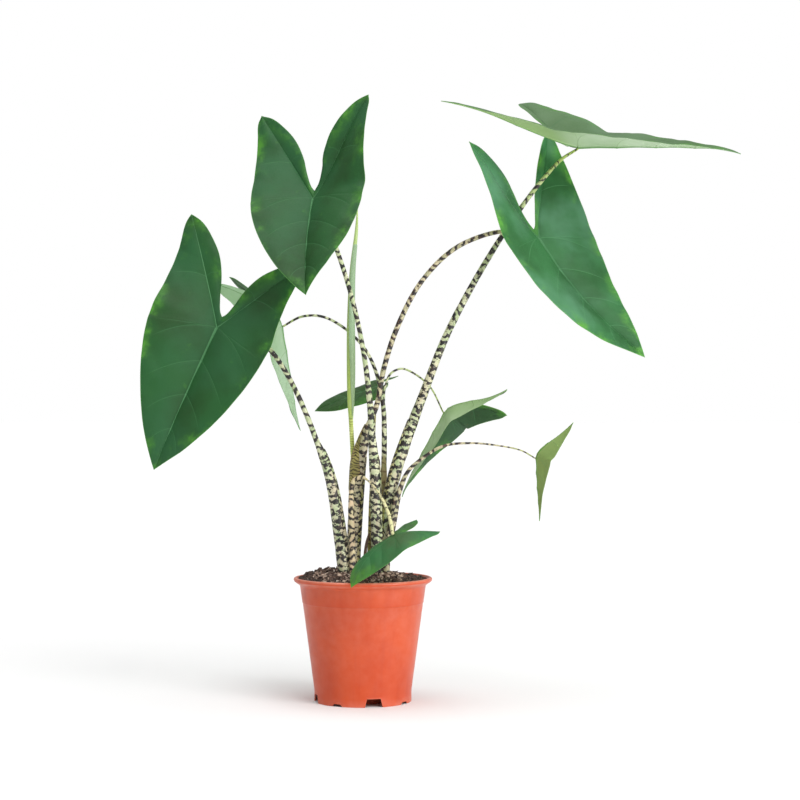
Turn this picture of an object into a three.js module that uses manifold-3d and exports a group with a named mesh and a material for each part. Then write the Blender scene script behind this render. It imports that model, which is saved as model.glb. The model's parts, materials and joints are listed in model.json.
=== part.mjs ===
// Alocasia zebrina, an arrow-leaved aroid with zebra-banded leaf stalks, in its plastic nursery pot.
// Units are millimetres and degrees, +Z is up. The origin is the middle of the pot's flat foot, on the
// surface that it stands on. The plant's widest leaves face -Y.

import * as THREE from 'three';
import { mergeVertices } from 'three/addons/utils/BufferGeometryUtils.js';
import Module from 'manifold-3d';

const wasm = await Module();
wasm.setup();

// ---------------------------------------------------------------- driving dimensions

const GAP = 0.35; // clearance between pieces that touch

const POT = {
  height: 151,
  lipRadius: 84.6,
  lipHeight: 5,
  lipFlare: 4.2, // height of the slope from the wall out to the lip
  lipRound: 1.6,
  mouthRadius: 80.4, // inner edge of the lip
  neckRadius: 77, // outside of the wall, just under the lip
  stepBelowTop: 31, // the stacking step lies this far below the rim
  stepDepth: 0.5,
  footRadius: 59.3,
  creaseHeight: 13,
  wall: 1.4,
  channelHeight: 12, // drain channel under the floor
  discRadius: 30, // flat central foot disc
  facets: 40,
};

// Notches in the foot's skirt, and the drain slots through the floor. inner and outer are radii.
const NOTCH = {
  firstAngle: -76, // degrees from +X, the deep notch that faces the front
  spacing: 90,
  deep: { width: 22, topWidth: 17, height: 10, inner: 55, outer: 61 },
  shallow: { width: 15, topWidth: 9, height: 3, inner: 55, outer: 61 },
  drain: { width: 10, topWidth: 10, height: 15, inner: 44, outer: 54 },
};

const SOIL = {
  edgeHeight: 146.5,
  heapHeight: 15,
  heapX: -14,
  heapY: 4,
  heapSpread: 44,
  lumpHeight: 1.2,
  // Crossing waves that make the lumps: [radians per mm along X, along Y, phase, share of lumpHeight].
  waves: [[0.31, 0.12, 1.3, 0.7], [-0.17, 0.29, 0.4, 0.6], [0.07, -0.21, 2.1, 0.5]],
  rings: 7,
  facets: 28,
};

const BLADE_THICKNESS = 1.1;
const BLADE_CAMBER = 0.06; // bulge of each half, as a share of its width
const LARGE_GRID = { body: 11, lobe: 7, across: 4, inner: 3 };
const SMALL_GRID = { body: 8, lobe: 5, across: 3, inner: 2 };
const LARGEST_SMALL_BLADE = 150; // a longer blade takes the large grid
const RIB_STEPS = 240; // short straight steps in a rib

// How the bends spread along a blade. Reaches are shares of a lobe's length.
const BEND = {
  droopPower: 1.5,
  tipDroopStart: 0.7, // share of the midrib where the apex's own droop starts
  riseRate: 5, // how soon a lobe takes up its rise
  spreadReach: 0.3,
  foldReach: 0.6,
  innerFoldReach: 0.25,
  swellPower: 0.8,
  innerSwellPower: 0.5,
};

const STALK_SIDES = 10;
const THIN_STALK_SIDES = 7;
const STEPS_PER_SPAN = 2; // rings between two points of a stalk's route
const HOLE_DEPTH = 1.4; // a stalk's hole in the soil goes this far below its end

// Half of a flat blade whose midrib runs from the junction (0, 0) to the apex (1, 0).
// Each row: [margin x, margin y, place on the ribs], the last from 1 at the apex through 0 at the junction
// to -1 at the lobe's tip.
const OUTER_MARGIN = [
  [1.0, 0.0, 1.0],
  [0.93, 0.05, 0.9],
  [0.8, 0.135, 0.72],
  [0.6, 0.235, 0.46],
  [0.4, 0.315, 0.22],
  [0.22, 0.37, 0.06],
  [0.12, 0.392, 0.0],
  [0.0, 0.408, -0.04],
  [-0.14, 0.415, -0.22],
  [-0.3, 0.418, -0.44],
  [-0.45, 0.425, -0.68],
  [-0.57, 0.43, -0.88],
  [-0.62, 0.415, -1.0],
];

// The inner margin of the lobe, from the bottom of the cleft between the lobes to the lobe's tip.
const INNER_MARGIN = [
  [-0.07, 0.0, 0.0],
  [-0.095, 0.022, -0.05],
  [-0.18, 0.06, -0.16],
  [-0.3, 0.1, -0.32],
  [-0.42, 0.16, -0.5],
  [-0.52, 0.245, -0.7],
  [-0.6, 0.35, -0.9],
  [-0.62, 0.415, -1.0],
];

// Posture and shape of each blade. heading, pitch and roll place it at its junction with the stalk; the other
// angles bend it. lobe, width, fullness and lobeFullness are shares of the flat outline.
const BLADES = [
  {
    junction: [-173, -60, 454], length: 186, width: 1.09,
    heading: -151, pitch: -63, roll: -42,
    droop: 10, tipDroop: -1, sweep: -1, twist: -5, tipFold: 12,
    left: {
      spread: 2, lobe: 0.89, rise: 10, curl: -11, turn: 16,
      fold: 7, lobeFold: 9, innerFold: 9, fullness: 0.06, lobeFullness: -0.08,
      innerFullness: -0.1,
    },
    right: {
      spread: 2, lobe: 1.06, rise: 9, curl: 6, turn: -1,
      fold: 21, lobeFold: -1, innerFold: -8, fullness: -0.01, lobeFullness: -0.05,
      innerFullness: 0.03,
    },
  },
  {
    junction: [-58, -70, 607], length: 157, width: 1.16,
    heading: -100, pitch: -51, roll: 17,
    droop: 1, tipDroop: 3, sweep: 10, twist: -3, tipFold: 23,
    left: {
      spread: 2, lobe: 1.21, rise: 27, curl: -14, turn: -6,
      fold: 5, lobeFold: 3, innerFold: 26, fullness: 0.13, lobeFullness: -0.01,
      innerFullness: 0.08,
    },
    right: {
      spread: -5, lobe: 1.1, rise: 35, curl: 5, turn: -8,
      fold: 27, lobeFold: 1, innerFold: 10, fullness: 0.02, lobeFullness: 0,
      innerFullness: 0.03,
    },
  },
  {
    junction: [214, -15, 564], length: 199, width: 0.97,
    heading: -36, pitch: -55, roll: 18,
    droop: -12, tipDroop: 9, sweep: 20, twist: 11, tipFold: 13,
    left: {
      spread: -5, lobe: 0.98, rise: 26, curl: -10, turn: 5,
      fold: 7, lobeFold: 8, innerFold: 13, fullness: -0.08, lobeFullness: 0.01,
      innerFullness: -0.35,
    },
    right: {
      spread: -8, lobe: 0.98, rise: 24, curl: -8, turn: -7,
      fold: 15, lobeFold: 10, innerFold: -2, fullness: 0.17, lobeFullness: -0.02,
      innerFullness: 0.18,
    },
  },
  {
    junction: [264, 10, 679], length: 215, width: 0.98,
    heading: -27, pitch: -3, roll: -6,
    droop: 6, tipDroop: 13, sweep: -9, twist: 11, tipFold: -1,
    left: {
      spread: -4, lobe: 0.93, rise: 43, curl: -19, turn: -18,
      fold: 23, lobeFold: 10, innerFold: 19, fullness: -0.34, lobeFullness: 0.01,
      innerFullness: 0,
    },
    right: {
      spread: 7, lobe: 1.13, rise: 20, curl: -19, turn: -3,
      fold: -1, lobeFold: -11, innerFold: 18, fullness: -0.1, lobeFullness: -0.02,
      innerFullness: 0,
    },
  },
  {
    junction: [-101, 20, 458], length: 131, width: 0.94,
    heading: 177, pitch: -100, roll: -12,
    droop: 0, tipDroop: 8, sweep: -8, twist: -1, tipFold: 13,
    left: {
      spread: 0, lobe: 1.13, rise: 53, curl: 7, turn: 7,
      fold: 29, lobeFold: 37, innerFold: -5, fullness: -0.01, lobeFullness: 0.07,
      innerFullness: -0.05,
    },
    right: {
      spread: 2, lobe: 1.08, rise: 34, curl: 0, turn: -7,
      fold: 7, lobeFold: -7, innerFold: 12, fullness: 0.16, lobeFullness: 0.04,
      innerFullness: -0.09,
    },
  },
  {
    junction: [16, 85, 385], length: 86, width: 0.94,
    heading: 171, pitch: -20, roll: -44,
    droop: 1, tipDroop: 1, sweep: 4, twist: -14, tipFold: 8,
    left: {
      spread: 29, lobe: 0.95, rise: 36, curl: 16, turn: 10,
      fold: 10, lobeFold: -13, innerFold: 21, fullness: 0.03, lobeFullness: -0.06,
      innerFullness: -0.1,
    },
    right: {
      spread: 18, lobe: 0.71, rise: -38, curl: 2, turn: 8,
      fold: -25, lobeFold: -12, innerFold: 11, fullness: 0.02, lobeFullness: 0.04,
      innerFullness: -0.08,
    },
  },
  {
    junction: [101, 45, 351], length: 119, width: 0.92,
    heading: -8, pitch: -120, roll: 0,
    droop: -4, tipDroop: -10, sweep: 7, twist: 0, tipFold: -3,
    left: {
      spread: -9, lobe: 0.93, rise: 71, curl: 6, turn: -9,
      fold: 41, lobeFold: 26, innerFold: -6, fullness: -0.28, lobeFullness: 0.03,
      innerFullness: -0.19,
    },
    right: {
      spread: -4, lobe: 1.08, rise: 58, curl: -32, turn: 8,
      fold: 18, lobeFold: 2, innerFold: 20, fullness: 0.02, lobeFullness: -0.03,
      innerFullness: -0.2,
    },
  },
  {
    junction: [211, -20, 297], length: 77, width: 1.0,
    heading: 34, pitch: -89, roll: 30,
    droop: -4, tipDroop: 9, sweep: -17, twist: 10, tipFold: 9,
    left: {
      spread: -8, lobe: 0.97, rise: 62, curl: 3, turn: 3,
      fold: 11, lobeFold: 7, innerFold: 18, fullness: -0.03, lobeFullness: 0.01,
      innerFullness: -0.09,
    },
    right: {
      spread: 4, lobe: 1.2, rise: 53, curl: -19, turn: 8,
      fold: 23, lobeFold: 11, innerFold: 35, fullness: -0.24, lobeFullness: 0.02,
      innerFullness: -0.12,
    },
  },
  {
    junction: [38, -75, 207], length: 83, width: 1.09,
    heading: -159, pitch: -32, roll: 1,
    droop: 40, tipDroop: -5, sweep: 5, twist: -32, tipFold: -4,
    left: {
      spread: -6, lobe: 0.9, rise: -30, curl: 0, turn: -11,
      fold: -23, lobeFold: -21, innerFold: -12, fullness: 0.04, lobeFullness: -0.02,
      innerFullness: 0.19,
    },
    right: {
      spread: 2, lobe: 0.88, rise: -16, curl: 13, turn: 6,
      fold: -15, lobeFold: 11, innerFold: -30, fullness: -0.04, lobeFullness: -0.05,
      innerFullness: -0.16,
    },
  },
];

// The route of each leaf stalk from inside the soil up to its blade, as [x, y, z, radius]. The last point of
// the route is worked out from the blade that it carries.
const STALKS = [
  { sides: STALK_SIDES, tipRadius: 2.4, route: [
    [-20, -16, 140, 8], [-23, -18, 166, 8], [-30, -20, 221, 7.7], [-38, -24, 268, 6.5], [-48, -28, 300, 5.2],
    [-55, -30, 317, 3.5], [-64, -34, 341, 3.2], [-79, -38, 376, 3.1], [-97, -41, 409, 3],
    [-116, -44, 433, 2.9], [-144, -48, 449, 2.6],
  ] },
  { sides: STALK_SIDES, tipRadius: 2, route: [
    [17, -14, 140, 7], [17, -14, 171, 6.9], [16, -16, 233, 6.7], [14, -20, 292, 6.2], [11.3, -23, 322, 4.9],
    [10, -26, 351, 3.9], [2, -34, 421, 3], [-12, -40, 488, 2.8], [-30, -44, 546, 2.7], [-45, -50, 581, 2.4],
  ] },
  { sides: STALK_SIDES, tipRadius: 2, route: [
    [-12, 4, 140, 8.6], [-12, 4, 172, 8.6], [-10, 2, 218, 8.7], [-8, 2, 257, 9], [-5, 4, 295, 9],
    [3, 4, 325, 5.8], [10, 3, 344, 3.6], [17, 2, 362, 3.3], [26, 0, 408, 3.2], [44, -4, 461, 3.2],
    [71, -10, 511, 3], [110, -20, 550, 2.9], [155, -26, 569, 2.7], [187, -24, 571, 2.3],
  ] },
  { sides: STALK_SIDES, tipRadius: 1.5, route: [
    [26.5, 1, 140, 6.2], [26.5, 1, 170, 6.3], [28.5, -1, 227, 7.2], [39, 0, 276, 7.4], [54, 2, 321, 6.8],
    [77, 4, 383, 5.3], [102, 6, 446, 4.5], [134, 8, 508, 3.9], [172, 1, 571, 3.3], [211, -10, 626, 2.7],
    [242, -3, 661, 2],
  ] },
  { sides: THIN_STALK_SIDES, tipRadius: 1.2, route: [
    [21, 14, 140, 3.6], [23, 14, 171, 3.6], [25, 14, 263, 3.4], [26, 14, 327, 3.2], [25, 13, 356, 2.9],
    [18, 12, 395, 2.4], [3, 12, 429, 1.9], [-22, 13, 455, 1.7], [-50, 14, 470, 1.6], [-76, 16, 470, 1.5],
  ] },
  { sides: THIN_STALK_SIDES, tipRadius: 1.2, route: [
    [6, 24, 140, 2.6], [7, 25, 170, 2.5], [9, 32, 244, 2.1], [12, 48, 305, 1.8], [14, 66, 352, 1.5],
  ] },
  { sides: THIN_STALK_SIDES, tipRadius: 0.9, route: [
    [24, 21.5, 140, 2.2], [24.5, 21.5, 172, 2.2], [25, 21, 263, 1.9], [26.5, 21, 330, 1.6],
    [25.5, 20, 364, 1.4], [27, 19.5, 384, 1.4], [34, 18, 400, 1.4], [47, 18, 406, 1.3],
    [63, 20, 400, 1.2], [83, 26, 383, 1.1],
  ] },
  { sides: THIN_STALK_SIDES, tipRadius: 0.8, route: [
    [29, -13, 140, 3.4], [29, -13, 169, 3.6], [31, -13, 190, 4], [34, -12.5, 208, 4.3], [37, -12, 226, 4.4],
    [40, -12, 244, 4.2], [45, -11, 258, 3.3], [54, -9, 279, 2.5], [68, -9, 293, 2.1], [97, -10, 311, 1.7],
    [130, -12, 315, 1.3], [165, -14, 312, 1], [193, -17, 306, 0.9],
  ] },
  { sides: THIN_STALK_SIDES, tipRadius: 2, joinsAbove: true, route: [
    [-12.3, -25.5, 140, 3.7], [-12.3, -25.5, 186, 3.7], [-13.9, -24, 234, 3.5], [-13.3, -23, 259, 2.8],
    [-10.4, -22, 270, 2.6], [-2, -25, 274, 2.5], [3.5, -30, 272.5, 1.6], [7, -35, 270, 1.1],
    [13.2, -44, 264.5, 1.2], [22.5, -56, 252, 1.6], [31.5, -66, 232.5, 2.1], [35.3, -72, 217, 2.2],
  ] },
];

const SPEAR_STALK = { sides: THIN_STALK_SIDES, route: [
  [-6, 19, 140, 3], [-6, 19, 172, 3], [-11, 18, 250, 2.8], [-13, 15, 302, 2.7], [-15, 4, 345, 2.6],
] };

const SPEAR = { sides: THIN_STALK_SIDES, wrap: 0.22, route: [
  [-15, 3, 348, 2.6], [-15, 2, 366, 4.1], [-15, 1, 404, 4.8], [-15, 2, 461, 4.6], [-13, 4, 527, 3.3],
  [-8, 6, 578, 1.8], [-7, 8, 606, 0.5],
] };

const DRY_STUB = { sides: THIN_STALK_SIDES, route: [
  [2, -20, 140, 2.1], [3, -21, 181, 1.9], [5, -22, 195, 1.7], [8, -24, 206, 1.1],
] };

// ---------------------------------------------------------------- small helpers

const radians = THREE.MathUtils.degToRad;
const clamp = THREE.MathUtils.clamp;
const lerp = THREE.MathUtils.lerp;
const FULL_TURN = 2 * Math.PI;
const TINY = 1e-9;
const WELD = 1e-3; // vertices closer than this are one
const SEAM = 0.05; // the two halves of a blade meet within this
const X_AXIS = new THREE.Vector3(1, 0, 0);
const Y_AXIS = new THREE.Vector3(0, 1, 0);
const Z_AXIS = new THREE.Vector3(0, 0, 1);
const turn = (axis, angle) => new THREE.Quaternion().setFromAxisAngle(axis, angle);

/** Smooth curve through rows of numbers: a cubic whose slope at a row is the mean of those beside it. */
function smoothRow(places, rows, place) {
  const slope = (k) => rows[k].map((value, c) => (rows[k + 1][c] - value) / (places[k + 1] - places[k]));
  const last = places.length - 1;
  const slopeAt = (k) => {
    if (k === 0) return slope(0);
    if (k === last) return slope(last - 1);
    const before = places[k] - places[k - 1];
    const after = places[k + 1] - places[k];
    const next = slope(k);
    return slope(k - 1).map((value, c) => (value * after + next[c] * before) / (before + after));
  };
  let k = 0;
  while (k < last - 1 && place > places[k + 1]) k += 1;
  const width = places[k + 1] - places[k];
  const t = clamp((place - places[k]) / width, 0, 1);
  const startSlope = slopeAt(k);
  const endSlope = slopeAt(k + 1);
  return rows[k].map((value, c) => (1 + 2 * t) * (1 - t) ** 2 * value
    + t * (1 - t) ** 2 * width * startSlope[c]
    + t * t * (3 - 2 * t) * rows[k + 1][c]
    + t * t * (t - 1) * width * endSlope[c]);
}

function geometryFrom(points, triangles) {
  const geometry = new THREE.BufferGeometry();
  geometry.setAttribute('position', new THREE.Float32BufferAttribute(points.flat(), 3));
  geometry.setIndex(triangles.flat());
  return geometry;
}

/** Joins vertices that share a place and drops the triangles that this leaves with no area. */
function welded(geometry, tolerance = WELD) {
  const bare = geometry.clone();
  bare.deleteAttribute('normal');
  bare.deleteAttribute('uv');
  const merged = mergeVertices(bare, tolerance);
  const index = merged.index.array;
  const kept = [];
  for (let i = 0; i < index.length; i += 3) {
    const [a, b, c] = index.slice(i, i + 3);
    if (a !== b && b !== c && c !== a) kept.push(a, b, c);
  }
  merged.setIndex(kept);
  return merged;
}

function toSolid(geometry) {
  const merged = welded(geometry);
  return new wasm.Manifold(new wasm.Mesh({
    numProp: 3,
    vertProperties: new Float32Array(merged.attributes.position.array),
    triVerts: new Uint32Array(merged.index.array),
  }));
}

function fromSolid(solid) {
  const { vertProperties, triVerts } = solid.getMesh();
  const geometry = new THREE.BufferGeometry();
  geometry.setAttribute('position', new THREE.BufferAttribute(vertProperties, 3));
  geometry.setIndex(new THREE.BufferAttribute(triVerts, 1));
  return geometry;
}

function cut(geometry, tools) {
  const solid = tools.reduce((rest, tool) => rest.subtract(toSolid(tool)), toSolid(geometry));
  return fromSolid(solid);
}

/** Closed skin over a stack of rings, each a list of points around it, with a fan over both end rings. */
function skinOverRings(rings) {
  const count = rings[0].length;
  const centre = (ring) => [0, 1, 2].map((c) => ring.reduce((sum, point) => sum + point[c], 0) / count);
  const points = [...rings.flat(), centre(rings[0]), centre(rings.at(-1))];
  const bottom = points.length - 2;
  const top = points.length - 1;
  const triangles = [];
  for (let i = 0; i < count; i += 1) {
    const j = (i + 1) % count;
    triangles.push([bottom, j, i]);
    triangles.push([top, (rings.length - 1) * count + i, (rings.length - 1) * count + j]);
    for (let r = 0; r < rings.length - 1; r += 1) {
      const [a, b, c, d] = [r * count + i, r * count + j, (r + 1) * count + j, (r + 1) * count + i];
      triangles.push([a, b, c], [a, c, d]);
    }
  }
  return geometryFrom(points, triangles);
}

/**
 * Closed tapered tube along a smooth route of [x, y, z, radius] points. Its section is round, or with wrap
 * a spiral that ends in a step, as the edge of a rolled leaf does. wider adds to its radius, longer to its
 * lower end.
 */
function stalkGeometry({ route, sides, wrap = 0 }, wider = 0, longer = 0) {
  const places = route.map(([x, y, z]) => new THREE.Vector3(x, y, z));
  const curve = new THREE.CatmullRomCurve3(places, false, 'centripetal');
  const spans = route.length - 1;
  const steps = spans * STEPS_PER_SPAN;
  let across = X_AXIS.clone();
  const rings = [];
  for (let step = 0; step <= steps; step += 1) {
    const t = step / steps;
    const span = Math.min(Math.floor(t * spans), spans - 1);
    const radius = lerp(route[span][3], route[span + 1][3], t * spans - span) + wider;
    const tangent = curve.getTangent(t);
    const centre = curve.getPoint(t);
    if (step === 0) centre.addScaledVector(tangent, -longer);
    across = across.addScaledVector(tangent, -across.dot(tangent)).normalize();
    const side = new THREE.Vector3().crossVectors(tangent, across);
    rings.push(Array.from({ length: sides }, (_, k) => {
      const angle = FULL_TURN * k / sides;
      const reach = radius * (1 + wrap * (k / sides - 0.5));
      return centre.clone().addScaledVector(across, reach * Math.cos(angle))
        .addScaledVector(side, reach * Math.sin(angle)).toArray();
    }));
  }
  return skinOverRings(rings);
}

// ---------------------------------------------------------------- pot

const floorTop = POT.channelHeight + POT.wall;
const neckHeight = POT.height - POT.lipHeight - POT.lipFlare;
const stepHeight = POT.height - POT.stepBelowTop;
const funnelHeight = neckHeight - POT.wall; // the inside opens out to the mouth from here
const wallSlope = (POT.neckRadius - POT.footRadius - POT.stepDepth) / (neckHeight - POT.creaseHeight);
const wallRadius = (z) => POT.footRadius + wallSlope * Math.max(z - POT.creaseHeight, 0)
  + (z > stepHeight ? POT.stepDepth : 0);

function innerRadius(z) {
  if (z < funnelHeight) return wallRadius(z) - POT.wall;
  return lerp(POT.neckRadius - POT.wall, POT.mouthRadius, (z - funnelHeight) / (POT.height - funnelHeight));
}

function potGeometry() {
  const { lipRound: round, wall, lipRadius, mouthRadius, height } = POT;
  const profile = [
    [0, 0],
    [POT.discRadius, 0],
    [POT.discRadius + wall, POT.channelHeight],
    [POT.footRadius - wall, POT.channelHeight],
    [POT.footRadius - wall, 0],
    [POT.footRadius, 0],
    [POT.footRadius, POT.creaseHeight],
    [wallRadius(stepHeight), stepHeight],
    [wallRadius(stepHeight) + POT.stepDepth, stepHeight + POT.stepDepth],
    [POT.neckRadius, neckHeight],
    [lipRadius - round, neckHeight + POT.lipFlare],
    [lipRadius, neckHeight + POT.lipFlare + round],
    [lipRadius, height - round],
    [lipRadius - round, height],
    [mouthRadius, height],
    [POT.neckRadius - wall, funnelHeight],
    [innerRadius(stepHeight) + POT.stepDepth, stepHeight + POT.stepDepth],
    [innerRadius(stepHeight), stepHeight],
    [POT.footRadius - wall, floorTop + wall],
    [POT.footRadius - 2 * wall, floorTop],
    [POT.discRadius, floorTop],
    [POT.discRadius - wall, wall],
    [0, wall],
  ];
  const lathe = new THREE.LatheGeometry(profile.map(([r, z]) => new THREE.Vector2(r, z)), POT.facets);
  lathe.rotateX(Math.PI / 2);
  return cut(lathe, footNotches());
}

/** A tool for one notch or slot: an upright trapezoid, carried outwards from inner to outer radius. */
function notchTool({ width, topWidth, height, inner, outer }, angle) {
  const below = 2;
  const outline = new THREE.Shape([
    new THREE.Vector2(-width / 2, -below),
    new THREE.Vector2(width / 2, -below),
    new THREE.Vector2(topWidth / 2, height),
    new THREE.Vector2(-topWidth / 2, height),
  ]);
  const tool = new THREE.ExtrudeGeometry(outline, { depth: outer - inner, bevelEnabled: false });
  tool.rotateX(Math.PI / 2);
  tool.rotateZ(Math.PI / 2);
  tool.translate(inner, 0, 0);
  tool.rotateZ(angle);
  return tool;
}

/** Deep and shallow notches by turns round the skirt, and a drain slot in the floor behind each deep one. */
function footNotches() {
  return [0, 1, 2, 3].flatMap((k) => {
    const deepAngle = radians(NOTCH.firstAngle + k * NOTCH.spacing);
    const shallowAngle = radians(NOTCH.firstAngle + (k + 0.5) * NOTCH.spacing);
    return [
      notchTool(NOTCH.deep, deepAngle),
      notchTool(NOTCH.shallow, shallowAngle),
      notchTool(NOTCH.drain, deepAngle),
    ];
  });
}

// ---------------------------------------------------------------- soil

/** Height of the soil: heaped as a bell round the stalks, with lumps. */
function soilHeight(x, y) {
  const offCentre = ((x - SOIL.heapX) ** 2 + (y - SOIL.heapY) ** 2) / (2 * SOIL.heapSpread ** 2);
  const lumps = SOIL.waves.reduce((sum, [alongX, alongY, phase, share]) => (
    sum + share * Math.sin(alongX * x + alongY * y + phase)), 0);
  return SOIL.edgeHeight + SOIL.heapHeight * Math.exp(-offCentre) + SOIL.lumpHeight * lumps;
}

function soilGeometry(holes) {
  const ringAt = (radius, height) => Array.from({ length: SOIL.facets }, (_, k) => {
    const angle = FULL_TURN * k / SOIL.facets;
    const [x, y] = [radius * Math.cos(angle), radius * Math.sin(angle)];
    return [x, y, height ?? soilHeight(x, y)];
  });
  const facetSink = 1 / Math.cos(Math.PI / POT.facets);
  const inside = (z) => innerRadius(z) / facetSink - 2 * GAP;
  const low = floorTop + GAP;
  const wallTop = SOIL.edgeHeight - 2 * SOIL.lumpHeight;
  const rings = [
    ringAt(1, POT.wall + GAP),
    ringAt(POT.discRadius - 2 * POT.wall, POT.wall + GAP),
    ringAt(POT.discRadius - POT.wall, low),
    ringAt(inside(low) - 2 * POT.wall, low),
    ringAt(inside(low), low + 2 * POT.wall),
    ringAt(inside(stepHeight - GAP), stepHeight - GAP),
    ringAt(inside(funnelHeight - GAP), funnelHeight - GAP),
    ringAt(inside(wallTop), wallTop),
  ];
  const rim = inside(wallTop) - GAP;
  for (let ring = SOIL.rings; ring > 0; ring -= 1) rings.push(ringAt(rim * ring / SOIL.rings));
  return cut(skinOverRings(rings), holes);
}

// ---------------------------------------------------------------- blades

/** A rib as a chain of short straight steps, each in the direction that its frame gives to along. */
function ribPath(length, frameAt, along) {
  const frames = Array.from({ length: RIB_STEPS + 1 }, (_, k) => frameAt(k / RIB_STEPS));
  const headings = frames.map((frame) => along.clone().applyQuaternion(frame));
  const points = [new THREE.Vector3()];
  for (let k = 1; k <= RIB_STEPS; k += 1) {
    const step = headings[k].clone().add(headings[k - 1]).multiplyScalar(length / RIB_STEPS / 2);
    points.push(points[k - 1].clone().add(step));
  }
  return (place) => {
    const exact = clamp(place, 0, 1) * RIB_STEPS;
    const k = Math.min(Math.floor(exact), RIB_STEPS - 1);
    return {
      point: points[k].clone().lerp(points[k + 1], exact - k),
      frame: frames[k].clone().slerp(frames[k + 1], exact - k),
    };
  };
}

/** The midrib droops, droops again near the apex, sweeps sideways and twists. */
function midribPath(blade, mirror) {
  return ribPath(1, (s) => {
    const nearTip = clamp((s - BEND.tipDroopStart) / (1 - BEND.tipDroopStart), 0, 1);
    const bend = radians(blade.droop) * s ** BEND.droopPower + radians(blade.tipDroop) * nearTip ** 2;
    return turn(Z_AXIS, mirror * radians(blade.sweep) * s)
      .multiply(turn(Y_AXIS, bend))
      .multiply(turn(X_AXIS, mirror * radians(blade.twist) * s));
  }, X_AXIS);
}

const [LOBE_X, LOBE_Y] = OUTER_MARGIN.at(-1);
const LOBE_LENGTH = Math.hypot(LOBE_X, LOBE_Y);
const LOBE_ANGLE = Math.atan2(LOBE_Y, -LOBE_X);

/** The lobe's rib leaves the junction backwards, rises close to it, curls towards its tip and turns. */
function lobeRibPath(half) {
  const angle = LOBE_ANGLE + radians(half.spread);
  const along = new THREE.Vector3(-Math.cos(angle), Math.sin(angle), 0);
  const lift = new THREE.Vector3(along.y, -along.x, 0);
  const taken = (f) => (1 - Math.exp(-BEND.riseRate * f)) / (1 - Math.exp(-BEND.riseRate));
  return ribPath(LOBE_LENGTH * half.lobe, (f) => {
    const rise = radians(half.rise) * taken(f) + radians(half.curl) * f * f;
    return turn(lift, rise).multiply(turn(along, radians(half.turn) * f));
  }, along);
}

/** Evenly spaced rows down the outer margin: body rows before the junction, lobe rows behind it. */
function marginRows(bodyRows, lobeRows) {
  const places = [0];
  for (let k = 1; k < OUTER_MARGIN.length; k += 1) {
    const [x0, y0] = OUTER_MARGIN[k - 1];
    const [x1, y1] = OUTER_MARGIN[k];
    places.push(places[k - 1] + Math.hypot(x1 - x0, y1 - y0));
  }
  const atJunction = places[OUTER_MARGIN.findIndex(([, , rib]) => rib === 0)];
  const row = (place) => smoothRow(places, OUTER_MARGIN, place);
  const body = Array.from({ length: bodyRows + 1 }, (_, k) => row(atJunction * k / bodyRows));
  const lobePlace = (k) => lerp(atJunction, places.at(-1), (k + 1) / lobeRows);
  const lobe = Array.from({ length: lobeRows }, (_, k) => row(lobePlace(k)));
  body[bodyRows][2] = 0;
  return [...body, ...lobe];
}

const innerRow = (rib) => smoothRow(INNER_MARGIN.map((row) => -row[2]), INNER_MARGIN, -rib);

/** How wide a row is against the flat outline, and how far it folds up from the rib, in degrees. */
function rulingShape(blade, half, rib, inner) {
  const reach = Math.min(Math.abs(rib), 1);
  const mid = Math.sin(Math.PI * reach);
  if (inner) {
    return {
      full: 1 + half.innerFullness * mid ** BEND.innerSwellPower,
      fold: half.innerFold * Math.min(reach / BEND.innerFoldReach, 1),
    };
  }
  return rib > 0
    ? { full: 1 + half.fullness * mid ** BEND.swellPower, fold: lerp(half.fold, blade.tipFold, rib * rib) }
    : {
      full: 1 + half.lobeFullness * mid ** BEND.swellPower,
      fold: lerp(half.fold, half.lobeFold, Math.min(reach / BEND.foldReach, 1)),
    };
}

/** One row of points from the rib to the margin, slightly bulging upwards. */
function rulingPoints(blade, half, paths, [x, y, rib], inner, steps) {
  const onBody = rib > 0;
  const { point, frame } = onBody ? paths.midrib(rib) : paths.lobe(-rib);
  const lobeTip = new THREE.Vector2(LOBE_X, LOBE_Y);
  const flatRib = onBody ? new THREE.Vector2(rib, 0) : lobeTip.multiplyScalar(-rib);
  const { full, fold } = rulingShape(blade, half, rib, inner);
  const spread = onBody ? 0 : -radians(half.spread) * Math.min(-rib / BEND.spreadReach, 1);
  const ruling = new THREE.Vector2(x, y).sub(flatRib)
    .multiplyScalar(blade.width * full)
    .rotateAround(new THREE.Vector2(), spread);
  const width = ruling.length();
  const direction = width > TINY ? ruling.clone().divideScalar(width) : new THREE.Vector2(0, 1);
  const [c, s] = [Math.cos(radians(fold)), Math.sin(radians(fold))];
  return Array.from({ length: steps + 1 }, (_, k) => {
    const t = k / steps;
    const out = t * width;
    const bulge = BLADE_CAMBER * width * 4 * t * (1 - t);
    const level = out * c - bulge * s;
    return new THREE.Vector3(direction.x * level, direction.y * level, out * s + bulge * c)
      .applyQuaternion(frame).add(point);
  });
}

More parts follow.
